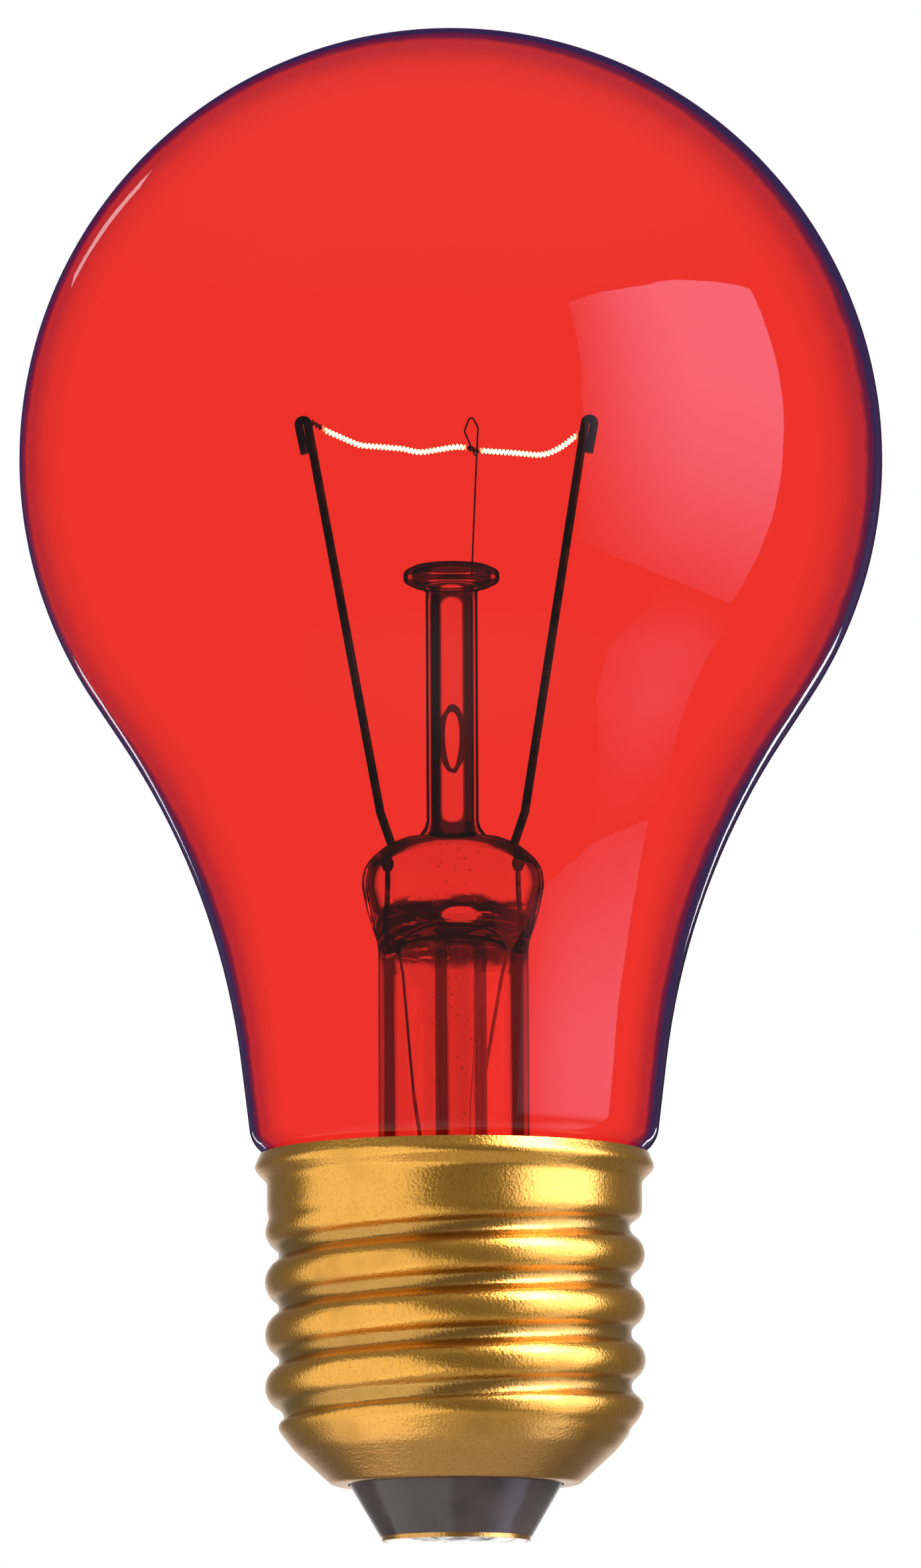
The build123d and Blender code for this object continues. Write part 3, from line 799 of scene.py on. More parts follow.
@dataclass(frozen=True)
class RolledBrass(Finish):
    """Cap brass, drawn from thin sheet and rolled: satin, with a fine orange-peel grain and brown valleys."""

    name: str = "rolled_brass"
    crest: str = "F2B352"
    valley: str = "A4824E"
    bowl: str = "DCA45C"
    stain: str = "94602C"
    roughness: float = 0.15
    cloud_roughness: float = 0.14
    grain_mm: float = 0.20        # about twice the real grain, which would be too fine to show
    cloud_mm: float = 5.0
    roll_mm: float = 0.5          # rolling lines run round the cap
    valley_mm: Span = (12.9, 12.2)  # radii between which the valleys darken
    thread_mm: Span = (8.6, 9.6)
    bowl_mm: Span = (9.0, 5.2)
    # how far the thread's valleys are darkened towards the valley colour
    valley_darkening: float = 0.60
    worn: float = 0.40
    pits: float = 0.22
    grain_bump: float = 0.60

    def stains(self, mix: Recipe, grain: Socket, cloud: Socket) -> Socket:
        """Work out where the brass is stained, in clouds and in the pits of its grain.

        Args:
            mix: the material's recipe.
            grain: the fine grain.
            cloud: the wide clouds.

        Returns:
            Share of the stain.
        """
        worn = mix.add("Math MULTIPLY", mix.add("MapRange", cloud, 0.52, 0.78, **SMOOTH), self.worn)
        pits = mix.add("Math MULTIPLY", mix.add("MapRange", grain, 0.48, 0.66, **SMOOTH), self.pits)
        return mix.add("Math MAXIMUM", worn, pits)

    def shader(self, mix: Recipe) -> Socket:
        """Make the brass.

        Args:
            mix: the material's recipe.

        Returns:
            The surface.
        """
        place = mix.place
        x, y, z = (mix.add("SeparateXYZ", place, give=axis) for axis in "XYZ")
        radius = mix.add("VectorMath LENGTH", mix.add("CombineXYZ", x, y), give="Value")
        grain = mix.add("TexNoise", {"Vector": place, "Scale": 1 / (self.grain_mm * MM), "Detail": 3.0})
        cloud = mix.add("TexNoise", {"Vector": place, "Scale": 1 / (self.cloud_mm * MM), "Detail": 4.0})
        along = mix.add("Mapping", {"Vector": place, "Scale": (0.25, 0.25, 2.5)})
        rolled = mix.add("TexNoise", {"Vector": along, "Scale": 1 / (self.roll_mm * MM), "Detail": 2.0})
        spans = ((radius, self.valley_mm), (z, self.thread_mm), (z, self.bowl_mm))
        valley, threaded, low = (mix.add("MapRange", at, a * MM, b * MM, **SMOOTH) for at, (a, b) in spans)
        # darker in the thread's valleys, towards the valley colour
        valley_darkening = mix.add("Math MULTIPLY", mix.add("Math MULTIPLY", valley, threaded), self.valley_darkening)
        colour, stained = self.crest, self.stains(mix, grain, cloud)
        for share, shade in ((valley_darkening, self.valley), (low, self.bowl), (stained, self.stain)):
            colour = mix.add("Mix", {0: share, 6: colour, 7: shade}, give=2, data_type="RGBA")
        height = mix.add("Math MULTIPLY_ADD", rolled, 0.5, grain)
        return mix.add("BsdfPrincipled", {
            "Base Color": colour, "Metallic": 1.0,
            "Roughness": mix.add("Math MULTIPLY_ADD", cloud, self.cloud_roughness, self.roughness),
            "Normal": mix.add("Bump", {"Height": height, "Strength": self.grain_bump, "Distance": 0.04 * MM}),
        })


@dataclass(frozen=True)
class Mottled(Finish):
    """Opaque finish whose colour, roughness and relief all follow one soft noise."""

    shade: str
    patch: str
    patch_mm: float
    detail: float
    roughness: float
    bump: float
    bump_mm: float
    rougher: float = 0.0          # what the patches add to the roughness
    distortion: float = 0.0
    metallic: float = 0.0
    ior: float = 1.5

    def relief(self, mix: Recipe, noise: Socket) -> Socket:
        """Let the relief follow the noise alone."""
        return noise

    def shader(self, mix: Recipe) -> Socket:
        """Make the mottled surface.

        Args:
            mix: the material's recipe.

        Returns:
            The surface.
        """
        noise = mix.add("TexNoise", {
            "Vector": mix.place, "Scale": 1 / (self.patch_mm * MM), "Detail": self.detail,
            "Distortion": self.distortion,
        })
        relief = {"Height": self.relief(mix, noise), "Strength": self.bump, "Distance": self.bump_mm * MM}
        return mix.add("BsdfPrincipled", {
            "Base Color": mix.add("Mix", {0: noise, 6: self.shade, 7: self.patch}, give=2, data_type="RGBA"),
            "Roughness": mix.add("Math MULTIPLY_ADD", noise, self.rougher, self.roughness),
            "Metallic": self.metallic, "IOR": self.ior, "Normal": mix.add("Bump", relief),
        })


@dataclass(frozen=True)
class MouldedBlackGlass(Mottled):
    """Black vitrite glass, pressed hot into the cap: glossy, dark brown-grey, with soft mould waves."""

    name: str = "moulded_black_glass"
    shade: str = "322A28"
    patch: str = "5E4F4A"
    patch_mm: float = 3.0
    detail: float = 3.0
    roughness: float = 0.12
    rougher: float = 0.12
    ior: float = 1.52
    bump: float = 0.25
    bump_mm: float = 0.3


@dataclass(frozen=True)
class TinLeadSolder(Mottled):
    """Solder run on by hand: silver with bright wet-looking patches and small dimples."""

    name: str = "tin_lead_solder"
    shade: str = "EEECE6"
    patch: str = "B4B0A8"
    patch_mm: float = 1.6
    detail: float = 3.0
    distortion: float = 1.0
    metallic: float = 1.0
    roughness: float = 0.08
    rougher: float = 0.35
    bump: float = 0.6
    bump_mm: float = 0.25
    dimple_mm: float = 1.1

    def relief(self, mix: Recipe, noise: Socket) -> Socket:
        """Add the dimples to the noise."""
        spots = {"Vector": mix.place, "Scale": 1 / (self.dimple_mm * MM)}
        return mix.add("Math ADD", noise, mix.add("TexVoronoi", spots, give="Distance", feature="SMOOTH_F1"))


@dataclass(frozen=True)
class BasingCement(Mottled):
    """Baked basing cement: a dull, sandy, tan filler of resin and stone powder."""

    name: str = "basing_cement"
    shade: str = "B7A284"
    patch: str = "8E7A5E"
    patch_mm: float = 0.25
    detail: float = 5.0
    roughness: float = 0.9
    bump: float = 0.7
    bump_mm: float = 0.1


@dataclass(frozen=True)
class PaleFloor(Finish):
    """Matt painted board under the held lamp, which shiny things see as the studio's own light."""

    name: str = "pale_floor"
    board: str = "EDEDED"
    roughness: float = 0.8
    paleness: float = 0.45        # light that it adds to what is seen of it, which keeps its shadow
    dim: float = 0.20             # what the dim room shows in shiny things
    pool: float = 0.5             # painted pool of light on the floor right under the lamp, which only shiny things see
    pool_m: Span = (0.70, 0.15)
    backdrop: float = 0.65        # what the lit wall behind the lamp adds
    behind: Span = (0.90, 0.985)  # how squarely behind it the wall starts and is full
    far_m: Span = (0.8, 1.6)

    def shader(self, mix: Recipe) -> Socket:
        """Make the board.

        Args:
            mix: the material's recipe.

        Returns:
            The surface.
        """
        camera, through, glossy = (
            mix.add("LightPath", give=f"Is {kind} Ray") for kind in ("Camera", "Transmission", "Glossy")
        )
        looked_at = mix.add("Math MAXIMUM", camera, through)
        matt = mix.add("BsdfPrincipled", {
            "Base Color": self.board, "Roughness": self.roughness, "Emission Color": WHITE,
            "Emission Strength": mix.add("Math MULTIPLY", looked_at, self.paleness),
        })
        away = mix.add("VectorMath LENGTH", mix.place, give="Value")
        # painted pool of light under the lamp, seen only in reflections
        pool = mix.add("MapRange", away, *self.pool_m, **SMOOTH)
        shown = mix.add("Math MULTIPLY_ADD", pool, self.pool - self.dim, self.dim)
        back = mix.add("Math DIVIDE", mix.add("SeparateXYZ", mix.place, give="Y"), away)
        back = mix.add("MapRange", back, *self.behind, **SMOOTH)
        far = mix.add("Math MULTIPLY", back, mix.add("MapRange", away, *self.far_m, **SMOOTH))
        shown = mix.add("Math MULTIPLY_ADD", far, self.backdrop, shown)
        return mix.add("MixShader", glossy, matt, mix.add("Emission", WHITE, shown))


@dataclass
class GlassEnvelope:
    """Blown bulb: dome, cone, hollow shoulder and neck, with an even wall."""

    height: float = 105.49        # with the radius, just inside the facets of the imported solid
    radius: float = 29.98
    wall: float = 0.6
    cone_angle: float = 33.5
    shoulder_r: float = 52.0
    neck_r: float = 14.0
    neck_angle: float = 7.0
    neck_z: float = 28.0
    tuck_r: float = 2.0
    tail_turn_r: float = 1.0
    tail_r: float = 11.6
    tail_end_r: float = 1.4
    seal_r: float = 10.0
    seal_z: float = 20.8
    dome_steps: int = 96
    segments: int = 192

    def outline(self) -> Path:
        """Draw the outside from the top of the dome to the melted end of the neck.

        Returns:
            Points in radius and height.
        """
        slope, taper = math.radians(self.cone_angle), math.tan(math.radians(self.neck_angle))
        dome_z = self.height - self.radius
        leave_r, leave_z = self.radius * math.cos(slope), dome_z - self.radius * math.sin(slope)
        rise = self.neck_r - taper * self.neck_z - leave_r + math.tan(slope) * leave_z
        shoulder_z = rise / (math.tan(slope) - taper)
        dome = []
        for k in range(self.dome_steps):
            angle = math.radians(90 - (90 + self.cone_angle) * k / self.dome_steps)
            dome.append(Vector((self.radius * math.cos(angle), dome_z + self.radius * math.sin(angle), 0)))
        dome[0].x = 0.0
        shoulder = (self.neck_r + taper * (shoulder_z - self.neck_z), shoulder_z)
        corners = [(leave_r, leave_z), shoulder, (self.neck_r, self.neck_z)]
        corners += [(self.tail_r, self.neck_z - (self.neck_r - self.tail_r)), (self.tail_r, self.seal_z)]
        corners.append((self.seal_r, self.seal_z))
        radii = (self.shoulder_r, self.tuck_r, self.tail_turn_r, self.tail_end_r)
        return dome + rounded(corners, radii, turn_step=1.5)

    def build(self) -> None:
        """Make the bulb's wall, tinted on its outer skin."""
        outside = self.outline()
        inside = offset_inside(outside, self.wall)
        inside[0].x = 0.0
        rows = [(p.x, p.y, 0) for p in outside] + [(p.x, p.y, 1) for p in reversed(inside)]
        skins = (RedStainedGlass().material(), InnerGlassSkin().material())
        piece = turned("blown_bulb", rows, skins, segments=self.segments, closed=False)
        seat(piece, "glass_envelope")


@dataclass
class Stem:
    """Glass stem: flare tube pinched into the press, arbor with its button, and exhaust tube."""

    seal_z: float = 21.4
    seal_r: float = 10.0
    flare_r: float = 5.22
    flare_wall: float = 0.9
    flare_arc_r: float = 3.6
    top_z: float = 49.2
    crown: float = 0.1            # how far the press's top falls to its edge
    hollow_h: float = 3.8         # how far the tube's hollow reaches into the press
    hollow_pinch: float = 0.55
    tube_r: float = 1.8
    bore_r: float = 1.02
    arbor_low: float = 48.7
    foot_r: float = 2.3
    button_z: float = 66.6
    button_r: float = 3.33
    button_t: float = 1.4
    hole_up: float = 6.5          # middle of the pumped hole above the press
    hole_half: Span = (0.66, 2.1)
    hole_pear: float = 0.22       # share by which its lower half is wider than its upper
    exhaust_x: float = 0.5
    exhaust_top: float = 42.5
    tip_z: float = 12.0
    tip_h: float = 2.4
    # outside of the press from the tube up: height, half width, half depth
    press: tuple[tuple[float, float, float], ...] = (
        (39.0, 5.22, 5.22), (40.4, 5.2, 4.5), (41.6, 5.26, 3.75), (43.0, 5.7, 3.1), (44.5, 6.08, 2.7),
        (46.0, 6.29, 2.6), (47.2, 5.95, 2.52), (48.1, 5.1, 2.36), (48.7, 4.2, 2.1), (49.05, 3.3, 1.8),
    )

    def press_size(self, z: float, column: int) -> float:
        """Read the press's half width or half depth at a height, along a smooth curve.

        Args:
            z: the height.
            column: 1 for the half width, 2 for the half depth.

        Returns:
            The size there.
        """
        heights, values = [s[0] for s in self.press], [s[column] for s in self.press]
        slopes = np.gradient(values, heights)
        k = int(min(max(np.searchsorted(heights, z) - 1, 0), len(heights) - 2))
        span = heights[k + 1] - heights[k]
        t = (z - heights[k]) / span
        blend = [2 * t**3 - 3 * t**2 + 1, t**3 - 2 * t**2 + t, -2 * t**3 + 3 * t**2, t**3 - t**2]
        parts = (values[k], slopes[k] * span, values[k + 1], slopes[k + 1] * span)
        return float(sum(b * p for b, p in zip(blend, parts)))

    def flare(self) -> None:
        """Make the flare tube and the press in one skin, and the hollow in it."""
        start, bore, low_z = self.press[0][0], self.flare_r - self.flare_wall, self.seal_z - self.flare_wall
        tube = [(self.seal_r, self.seal_z), (self.flare_r, self.seal_z), (self.flare_r, start)]
        rows = [(p.x, p.y, 0) for p in rounded(tube, [self.flare_arc_r])[:-1]]
        for z in map(float, np.linspace(start, self.press[-1][0], 60)):
            rows.append((self.press_size(z, 1), z, 0, self.press_size(z, 2)))
        wide, _, _, deep = rows[-1]
        for share in (0.8, 0.6, 0.4, 0.2, 0.0):
            rows.append((wide * share, self.top_z - self.crown * share**2, 0, deep * share))
        hollow = [(self.seal_r, low_z), (bore, low_z), (bore, start)]
        inner = [(p.x, p.y, 1) for p in rounded(hollow, [self.flare_arc_r + self.flare_wall])]
        for share in map(float, np.linspace(0.05, 1.0, 20)):
            across = bore * math.sqrt(max(0.0, 1 - share**3))
            inner.append((across, start + self.hollow_h * share, 1, across * (1 - self.hollow_pinch * share)))
        skins = (PinchedLeadGlass().material(), BoreGlass().material())
        piece = turned("flare_and_press", rows + inner[::-1], skins, segments=96)
        seat(piece, "stem_flare")

    def arbor(self) -> None:
        """Make the arbor tube with its pumped hole, foot and button."""
        rim = self.button_t / 2
        top, foot_z = self.button_z + self.button_t, self.top_z
        button = rounded(
            [(self.tube_r, self.button_z - 0.4), (self.tube_r + 0.3, self.button_z),
             (self.button_r - rim, self.button_z), (self.button_r, self.button_z + rim / 2),
             (self.button_r, top - rim / 2), (self.button_r - rim, top), (0, top)],
            [0.3, 0.2, rim / 2, rim / 2, rim / 2],
        )
        heights = [float(z) for z in np.linspace(foot_z + 1.6, self.button_z - 1.0, 36)]
        rows = [(self.bore_r, self.arbor_low, 0), (self.tube_r, self.arbor_low, 0), (self.foot_r, foot_z, 0)]
        rows += [(self.tube_r + 0.15, foot_z + 0.5, 0), (self.tube_r, foot_z + 1.0, 0)]
        rows += [(self.tube_r, z, 0) for z in heights] + [(p.x, p.y, 0) for p in button]
        rows += [(0.0, self.button_z + 0.3, 1), (self.bore_r * 0.7, self.button_z + 0.15, 1)]
        rows += [(self.bore_r, self.button_z - 0.2, 1)] + [(self.bore_r, z, 1) for z in heights[::-1]]
        skins = (ArborGlass().material(), ArborBoreGlass().material())
        piece = turned("arbor_and_button", rows, skins, segments=64)
        self.pump_hole(piece)
        seat(piece, "arbor_tube")

    def pump_hole(self, tube: Piece) -> None:
        """Cut the pear-shaped hole that the flame blew through the arbor's front wall.

        Args:
            tube: the arbor.
        """
        middle, points, count = self.top_z + self.hole_up, [], 40
        wide, high = self.hole_half
        for y, grow in ((0.0, -0.52), (-3.0, 0.66)):
            for k in range(count):
                angle = 2 * math.pi * k / count
                half = (wide + grow) * math.sin(angle) * (1 - self.hole_pear * math.cos(angle))
                points.append((half, y, middle - (high + grow) * math.cos(angle)))
        faces = [[k, (k + 1) % count, count + (k + 1) % count, count + k] for k in range(count)]
        faces += [list(range(count)), list(range(count, 2 * count))[::-1]]
        cutter = mesh_piece("hole_cutter", points, faces, ())
        cut = tube.modifiers.new("hole", "BOOLEAN")
        cut.operation, cut.object, cut.solver = "DIFFERENCE", cutter, "EXACT"
        evaluated = tube.evaluated_get(bpy.context.evaluated_depsgraph_get())
        mesh = bpy.data.meshes.new_from_object(evaluated)
        tube.modifiers.clear()
        tube.data = mesh
        mesh.set_sharp_from_angle(angle=math.radians(SHARP_DEGREES))
        bpy.data.objects.remove(cutter)

    def exhaust(self) -> None:
        """Make the exhaust tube, drawn off to a sealed tip."""
        tip_top, wall = self.tip_z + self.tip_h, self.tube_r - self.bore_r
        turns = [math.pi / 2 * k / 8 for k in range(1, 9)]
        rows = [(self.bore_r, self.exhaust_top, 0), (self.tube_r, self.exhaust_top, 0)]
        rows.append((self.tube_r, tip_top, 0))
        rows += [(self.tube_r * math.cos(t), tip_top - self.tip_h * math.sin(t), 0) for t in turns[:-1]]
        rows += [(0.0, self.tip_z, 1), (0.0, self.tip_z + wall, 1)]
        depth = self.tip_h - wall
        rows += [(self.bore_r * math.cos(t), tip_top - depth * math.sin(t), 1) for t in turns[-2::-1]]
        rows.append((self.bore_r, tip_top, 1))
        skins = (LeadGlass().material(), BoreGlass().material())
        piece = turned("sealed_exhaust_tube", rows, skins, segments=48, x=self.exhaust_x)
        seat(piece, "exhaust_tube")

    def build(self) -> None:
        """Make the whole stem."""
        self.flare()
        self.arbor()
        self.exhaust()


@dataclass
class CoiledFilament:
    """Tungsten wire wound into a coil that sags from lead to anchor to lead.

    It is wound coarser than the real one, whose turns would be too fine to show.
    """

    top_z: float = 78.4
    coil_d: float = 0.42
    wire_d: float = 0.14
    pitch: float = 0.27
    bend: float = 2.4
    points_a_turn: int = 14
    sides: int = 6
    # the sag: across, and down from the tops of the leads
    run: tuple[Span, ...] = (
        (-9.7, 0.15), (-8.6, 0.8), (-6.4, 1.8), (-3.4, 2.05), (-2.2, 2.35), (0.6, 1.9),
        (1.8, 2.2), (4.5, 2.4), (6.5, 2.6), (7.7, 2.0), (9.1, 0.9),
    )

    def build(self) -> None:
        """Wind the coil round its sagging line."""
        sag = [(x, 0, self.top_z - drop) for x, drop in self.run]
        middle = rounded(sag, [self.bend] * (len(sag) - 2))
        length = sum((b - a).length for a, b in zip(middle, middle[1:]))
        line = resampled(middle, int(length / self.pitch * self.points_a_turn))
        radius = (self.coil_d - self.wire_d) / 2
        side, path = Vector((0, -1, 0)), []
        for k, place in enumerate(line):
            way = (line[min(k + 1, len(line) - 1)] - line[max(k - 1, 0)]).normalized()
            up = side.cross(way).normalized()
            angle = 2 * math.pi * k / self.points_a_turn
            path.append(place + (side * math.cos(angle) + up * math.sin(angle)) * radius)
        piece = swept("coiled_filament", path, self.wire_d / 2, GlowingTungsten().material(), self.sides)
        seat(piece, "filament")


class WireRun(Enum):
    """Finish of each group of CAD wires: bright metal, oxide, roughness and size of the oxide patches."""

    LEAD = DrawnWire("nickel_lead_wire", "3C3432", "1A1211", 0.30, 1.2)
    SEAL = DrawnWire("borated_seal_wire", "6E3A2A", "2A1512", 0.38, 0.8)
    OUTER = DrawnWire("bare_copper_wire", "B8704A", "6E3E28", 0.30, 1.5)
    ANCHOR = DrawnWire("molybdenum_wire", "4A4444", "1E1A1A", 0.30, 1.0)


@dataclass
class Wires:
    """Leads, seal wires, fuse, outer leads and anchor, kept from the CAD model."""

    leads: tuple[str, ...] = ("left_lead_wire", "right_lead_wire", "fuse_wire")
    seals: tuple[str, ...] = ("left_seal_wire", "right_seal_wire")
    outers: tuple[str, ...] = ("left_outer_lead", "right_outer_lead")
    anchors: tuple[str, ...] = ("anchor_wire",)

    def build(self) -> None:
        """Give every wire its finish."""
        for nodes, run in zip((self.leads, self.seals, self.outers, self.anchors), WireRun):
            material = run.value.material()
            for node in nodes:
                dress(node, material)


@dataclass
class ScrewCap:
    """Rolled brass shell with its knuckle thread, the black glass insulator, eyelet and solder."""

    height: float = 27.0
    sheet: float = 0.3
    pitch: float = 3.629
    crest_r: float = 13.05
    root_r: float = 12.1
    root_arc: float = 0.7
    top_valley_z: float = 20.95
    thread_top: float = 22.0
    thread_bottom: float = 8.8
    runout: float = 1.2
    skirt_r: float = 12.9
    around: int = 216
    rows_out: int = 190
    rows_in: int = 80

    def outline(self) -> Path:
        """Draw the outside of the shell before its thread is rolled, from the insulator up to the lip.

        Returns:
            Points in radius and height.
        """
        corners = [
            (7.4, 4.3), (8.5, 4.3), (11.1, 6.7), (12.5, 8.5), (self.crest_r, self.thread_bottom + 1.0),
            (self.crest_r, self.thread_top - 0.5), (self.skirt_r, self.thread_top + 0.5),
            (self.skirt_r, self.height - 1.9), (13.8, self.height - 0.95), (13.4, self.height),
        ]
        return rounded(corners, (0.6, 4.0, 1.0, 1.0, 1.0, 1.0, 0.7, 0.45), turn_step=3)

    def ease(self, inside: float) -> float:
        """Fade the thread in over its run-out.

        Args:
            inside: millimetres within the threaded length.

        Returns:
            Share of the full depth.
        """
        share = min(1.0, max(0.0, 1.0 + inside / self.runout))
        return share * share * (3 - 2 * share)

    def groove(self, z: float, turn: float) -> float:
        """Work out how deep the thread is rolled.

        Args:
            z: the height.
            turn: share of a turn from the front.

        Returns:
            The depth.
        """
        half, depth = self.pitch / 2, self.crest_r - self.root_r
        both = (half**2 + depth**2) / (2 * depth)
        crest_arc = both - self.root_arc
        off = (z - self.top_valley_z - turn * self.pitch) % self.pitch
        off = min(off, self.pitch - off)
        if off < half * self.root_arc / both:
            deep = depth - self.root_arc + math.sqrt(self.root_arc**2 - off**2)
        else:
            deep = crest_arc - math.sqrt(crest_arc**2 - (half - off) ** 2)
        return deep * self.ease(z - self.thread_bottom) * self.ease(self.thread_top - z)

    def shell(self, brass: Material) -> None:
        """Roll the shell.

        Args:
            brass: its finish.
        """
        outline = self.outline()
        fine, coarse = resampled(outline, self.rows_out), resampled(outline, self.rows_in)
        points, faces, ring = [], [], self.rows_out + self.rows_in
        for k in range(self.around):
            turn = k / self.around
            angle = 2 * math.pi * (turn - 0.25)
            outer, plain = (
                [Vector((p.x - self.groove(p.y, turn), p.y, 0)) for p in side] for side in (fine, coarse)
            )
            for p in outer + offset_inside(plain, -self.sheet)[::-1]:
                points.append((p.x * math.cos(angle), p.x * math.sin(angle), p.y))
            here, there = k * ring, ((k + 1) % self.around) * ring
            for s in range(ring):
                after = (s + 1) % ring
                faces.append([here + s, there + s, there + after, here + after])
        seat(mesh_piece("rolled_cap_shell", points, faces, (brass,)), "cap_shell")

    def build(self) -> None:
        """Make the shell and dress the parts seated in it."""
        brass, solder = RolledBrass().material(), TinLeadSolder().material()
        self.shell(brass)
        dress("contact_eyelet", brass)
        dress("cap_insulator", MouldedBlackGlass().material())
        dress("contact_solder", solder)
        dress("rim_solder", solder)
        dress("cap_cement", BasingCement().material())


BULB = ("blown_bulb",)
CAP = ("rolled_cap_shell", "contact_eyelet", "cap_insulator", "contact_solder")


@dataclass(frozen=True)
class Softbox:
    """One soft studio lamp, aimed at the lamp's middle.

    Its azimuth is measured from the camera's side towards the right.
    """

    name: str
    azimuth: float
    elevation: float
    distance: float
    width: float
    height: float
    radiance: float
    glow: str = WHITE
    fade: tuple[float, ...] = ()  # shares of its size that fade in from its left, its foot and its top
    lead_in: float = -0.35        # where a fade starts, as a share of itself
    lights: tuple[str, ...] = ()  # pieces that it lights, or none for all of them

    def soften(self, data: bpy.types.Light) -> None:
        """Let the light fade in from its edges.

        Args:
            data: the light.
        """
        left, foot, top = self.fade
        data.use_nodes = True
        mix = Recipe(data.node_tree)
        spot = mix.add("NewGeometry", give="Parametric")
        across, up = (mix.add("SeparateXYZ", spot, give=axis) for axis in "XY")
        strength = mix.add("MapRange", across, self.lead_in * left, left, **SMOOTH)
        rise = mix.add("MapRange", up, self.lead_in * foot, foot, **SMOOTH)
        strength = mix.add("Math MULTIPLY", strength, rise)
        if top:
            strength = mix.add("Math MULTIPLY", strength, mix.add("MapRange", up, 1.0, 1 - top, **SMOOTH))
        mix.add("OutputLight", mix.add("Emission", WHITE, strength))

    def build(self, target: Vector) -> None:
        """Place the lamp.

        Args:
            target: what it is aimed at.
        """
        turn, lift = math.radians(self.azimuth), math.radians(self.elevation)
        away = Vector((math.sin(turn) * math.cos(lift), -math.cos(turn) * math.cos(lift), math.sin(lift)))
        data = bpy.data.lights.new(self.name, "AREA")
        data.shape, data.size, data.size_y = "RECTANGLE", self.width, self.height
        data.energy = self.radiance * math.pi * self.width * self.height
        data.color = linear(self.glow)[:3]
        if self.fade:
            self.soften(data)
        lamp = bpy.data.objects.new(self.name, data)
        if self.lights:
            flagged = bpy.data.collections.new(self.name)
            for piece in self.lights:
                flagged.objects.link(bpy.data.objects[piece])
            lamp.light_linking.receiver_collection = flagged
        lamp.location = target + away * self.distance
        lamp.rotation_mode = "QUATERNION"
        lamp.rotation_quaternion = away.to_track_quat("Z", "Y")
        bpy.context.scene.collection.objects.link(lamp)


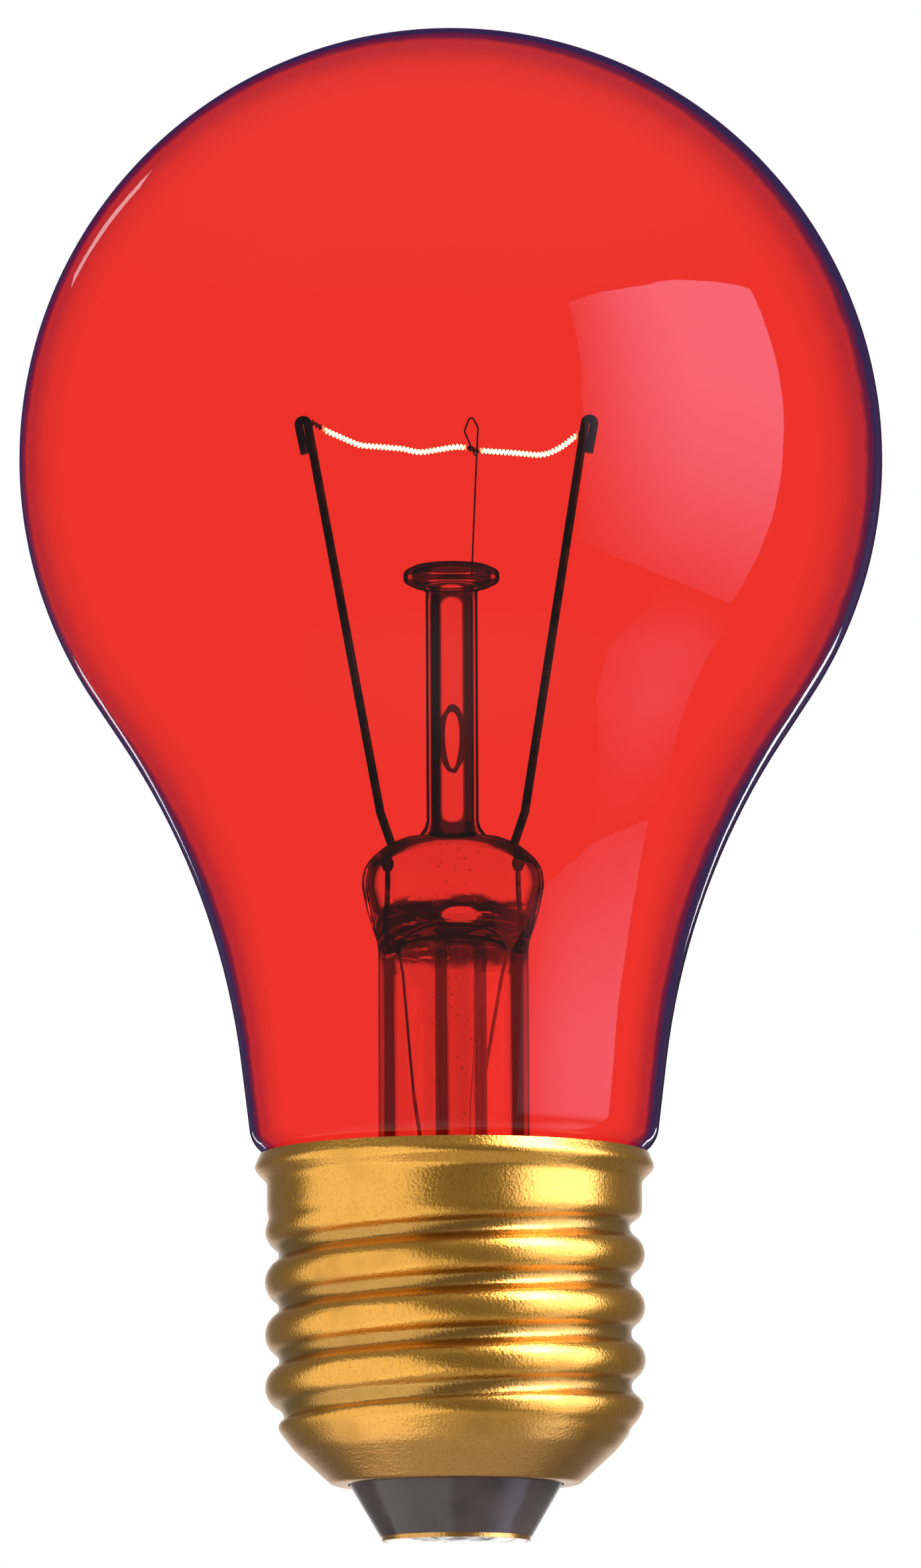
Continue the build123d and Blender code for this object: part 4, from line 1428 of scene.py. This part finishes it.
@dataclass
class Studio:
    """White studio with soft lamps, a pale floor well below the held lamp, and the camera."""

    distance: float = 0.650
    camera_z: float = -0.0380
    pitch: float = 7.95
    yaw: float = -0.049
    roll: float = -0.295
    focal_px: float = 14300.0
    picture: tuple[int, int] = (1389, 2365)
    sensor: float = 36.0
    floor_z: float = -0.60
    floor_half: float = 3.0
    board: PaleFloor = PaleFloor()
    ceiling: float = 0.12
    above: Span = (0.45, 0.85)
    target: tuple[float, float, float] = (0, 0, 0.055)
    softboxes: tuple[Softbox, ...] = (
        Softbox("softbox_right", 65.5, 4.0, 0.5, 0.60, 0.64, 3.2, glow="D2D8FF", fade=(0.55, 0.75, 0.0)),
        Softbox("softbox_low", 84.0, -44.0, 0.5, 0.24, 0.34, 1.7, glow="D2D8FF", fade=(0.8, 0.4, 0.75)),
        Softbox("card_right", 70.0, 6.0, 0.5, 0.52, 1.1, 0.95, lights=CAP),
        Softbox("card_high_right", 56.0, 38.0, 0.5, 0.26, 0.34, 9.0, lights=CAP),
        Softbox("card_left", -62.0, -26.0, 0.5, 1.0, 1.9, 0.85, lights=CAP),
        Softbox("card_under", 180.0, -24.0, 0.6, 0.9, 0.5, 0.9, lights=("contact_solder",)),
        Softbox("strip_back_right", 160.0, -6.0, 1.2, 0.06, 0.30, 24.0, lights=BULB),
        Softbox("strip_back_left", -161.0, -6.0, 1.2, 0.05, 0.26, 18.0, lights=BULB),
        Softbox("strip_high_left", -149.0, 28.0, 1.2, 0.07, 0.22, 5.0, lights=BULB),
    )

    def camera(self) -> None:
        """Set the camera at the photograph's viewing angle."""
        turn, tilt, lean = (math.radians(a) for a in (self.yaw, self.pitch, self.roll))
        ahead_flat = Vector((-math.sin(turn), math.cos(turn), 0))
        right_flat = Vector((math.cos(turn), math.sin(turn), 0))
        ahead = ahead_flat * math.cos(tilt) + Vector((0, 0, math.sin(tilt)))
        up_flat = ahead_flat * -math.sin(tilt) + Vector((0, 0, math.cos(tilt)))
        right = right_flat * math.cos(lean) + up_flat * math.sin(lean)
        up = right_flat * -math.sin(lean) + up_flat * math.cos(lean)
        data = bpy.data.cameras.new("camera")
        data.sensor_fit, data.sensor_width = "AUTO", self.sensor
        data.lens = self.focal_px * self.sensor / max(self.picture)
        data.clip_start, data.clip_end = 0.01, 20.0
        data.dof.use_dof = False
        camera = bpy.data.objects.new("camera", data)
        turned_axes = Matrix((right, up, -ahead)).transposed().to_4x4()
        camera.matrix_world = Matrix.Translation((0, -self.distance, self.camera_z)) @ turned_axes
        bpy.context.scene.collection.objects.link(camera)
        bpy.context.scene.camera = camera

    def world(self) -> None:
        """Light the studio evenly and show its background as white."""
        world = bpy.data.worlds.new("studio")
        world.use_nodes = True
        mix = Recipe(world.node_tree)
        way = mix.add("TexCoord", give="Generated")
        back, up = (
            mix.add("MapRange", mix.add("SeparateXYZ", way, give=axis), *span, **SMOOTH)
            for axis, span in (("Y", self.board.behind), ("Z", self.above))
        )
        light = mix.add("Math MULTIPLY_ADD", back, self.board.backdrop, self.board.dim)
        light = mix.add("Math MULTIPLY_ADD", up, self.ceiling, light)
        camera, through = (mix.add("LightPath", give=f"Is {kind} Ray") for kind in ("Camera", "Transmission"))
        white = mix.add("Math MAXIMUM", camera, through)
        mix.add("OutputWorld", mix.add("Background", WHITE, mix.add("Math MAXIMUM", white, light)))
        bpy.context.scene.world = world

    def floor(self) -> None:
        """Lay the plain pale floor."""
        half = self.floor_half
        mesh = bpy.data.meshes.new("floor")
        corners = [(-half, -half, 0), (half, -half, 0), (half, half, 0), (-half, half, 0)]
        mesh.from_pydata(corners, [], [(0, 1, 2, 3)])
        mesh.materials.append(self.board.material())
        floor = bpy.data.objects.new("floor", mesh)
        floor.location.z = self.floor_z
        bpy.context.scene.collection.objects.link(floor)

    def light(self) -> None:
        """Place the lamps, once the pieces that they light are there."""
        for box in self.softboxes:
            box.build(Vector(self.target))

    def build(self) -> None:
        """Set up the camera, the background and the floor."""
        self.camera()
        self.world()
        self.floor()
        bpy.context.scene.view_settings.view_transform = "Standard"


def main() -> None:
    """Build every sub-assembly and the studio."""
    logging.basicConfig(level=logging.INFO, format="%(message)s")
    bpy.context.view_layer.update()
    studio = Studio()
    studio.build()
    for assembly in (GlassEnvelope(), Stem(), CoiledFilament(), Wires(), ScrewCap()):
        assembly.build()
    studio.light()


if __name__ == "__main__":
    main()
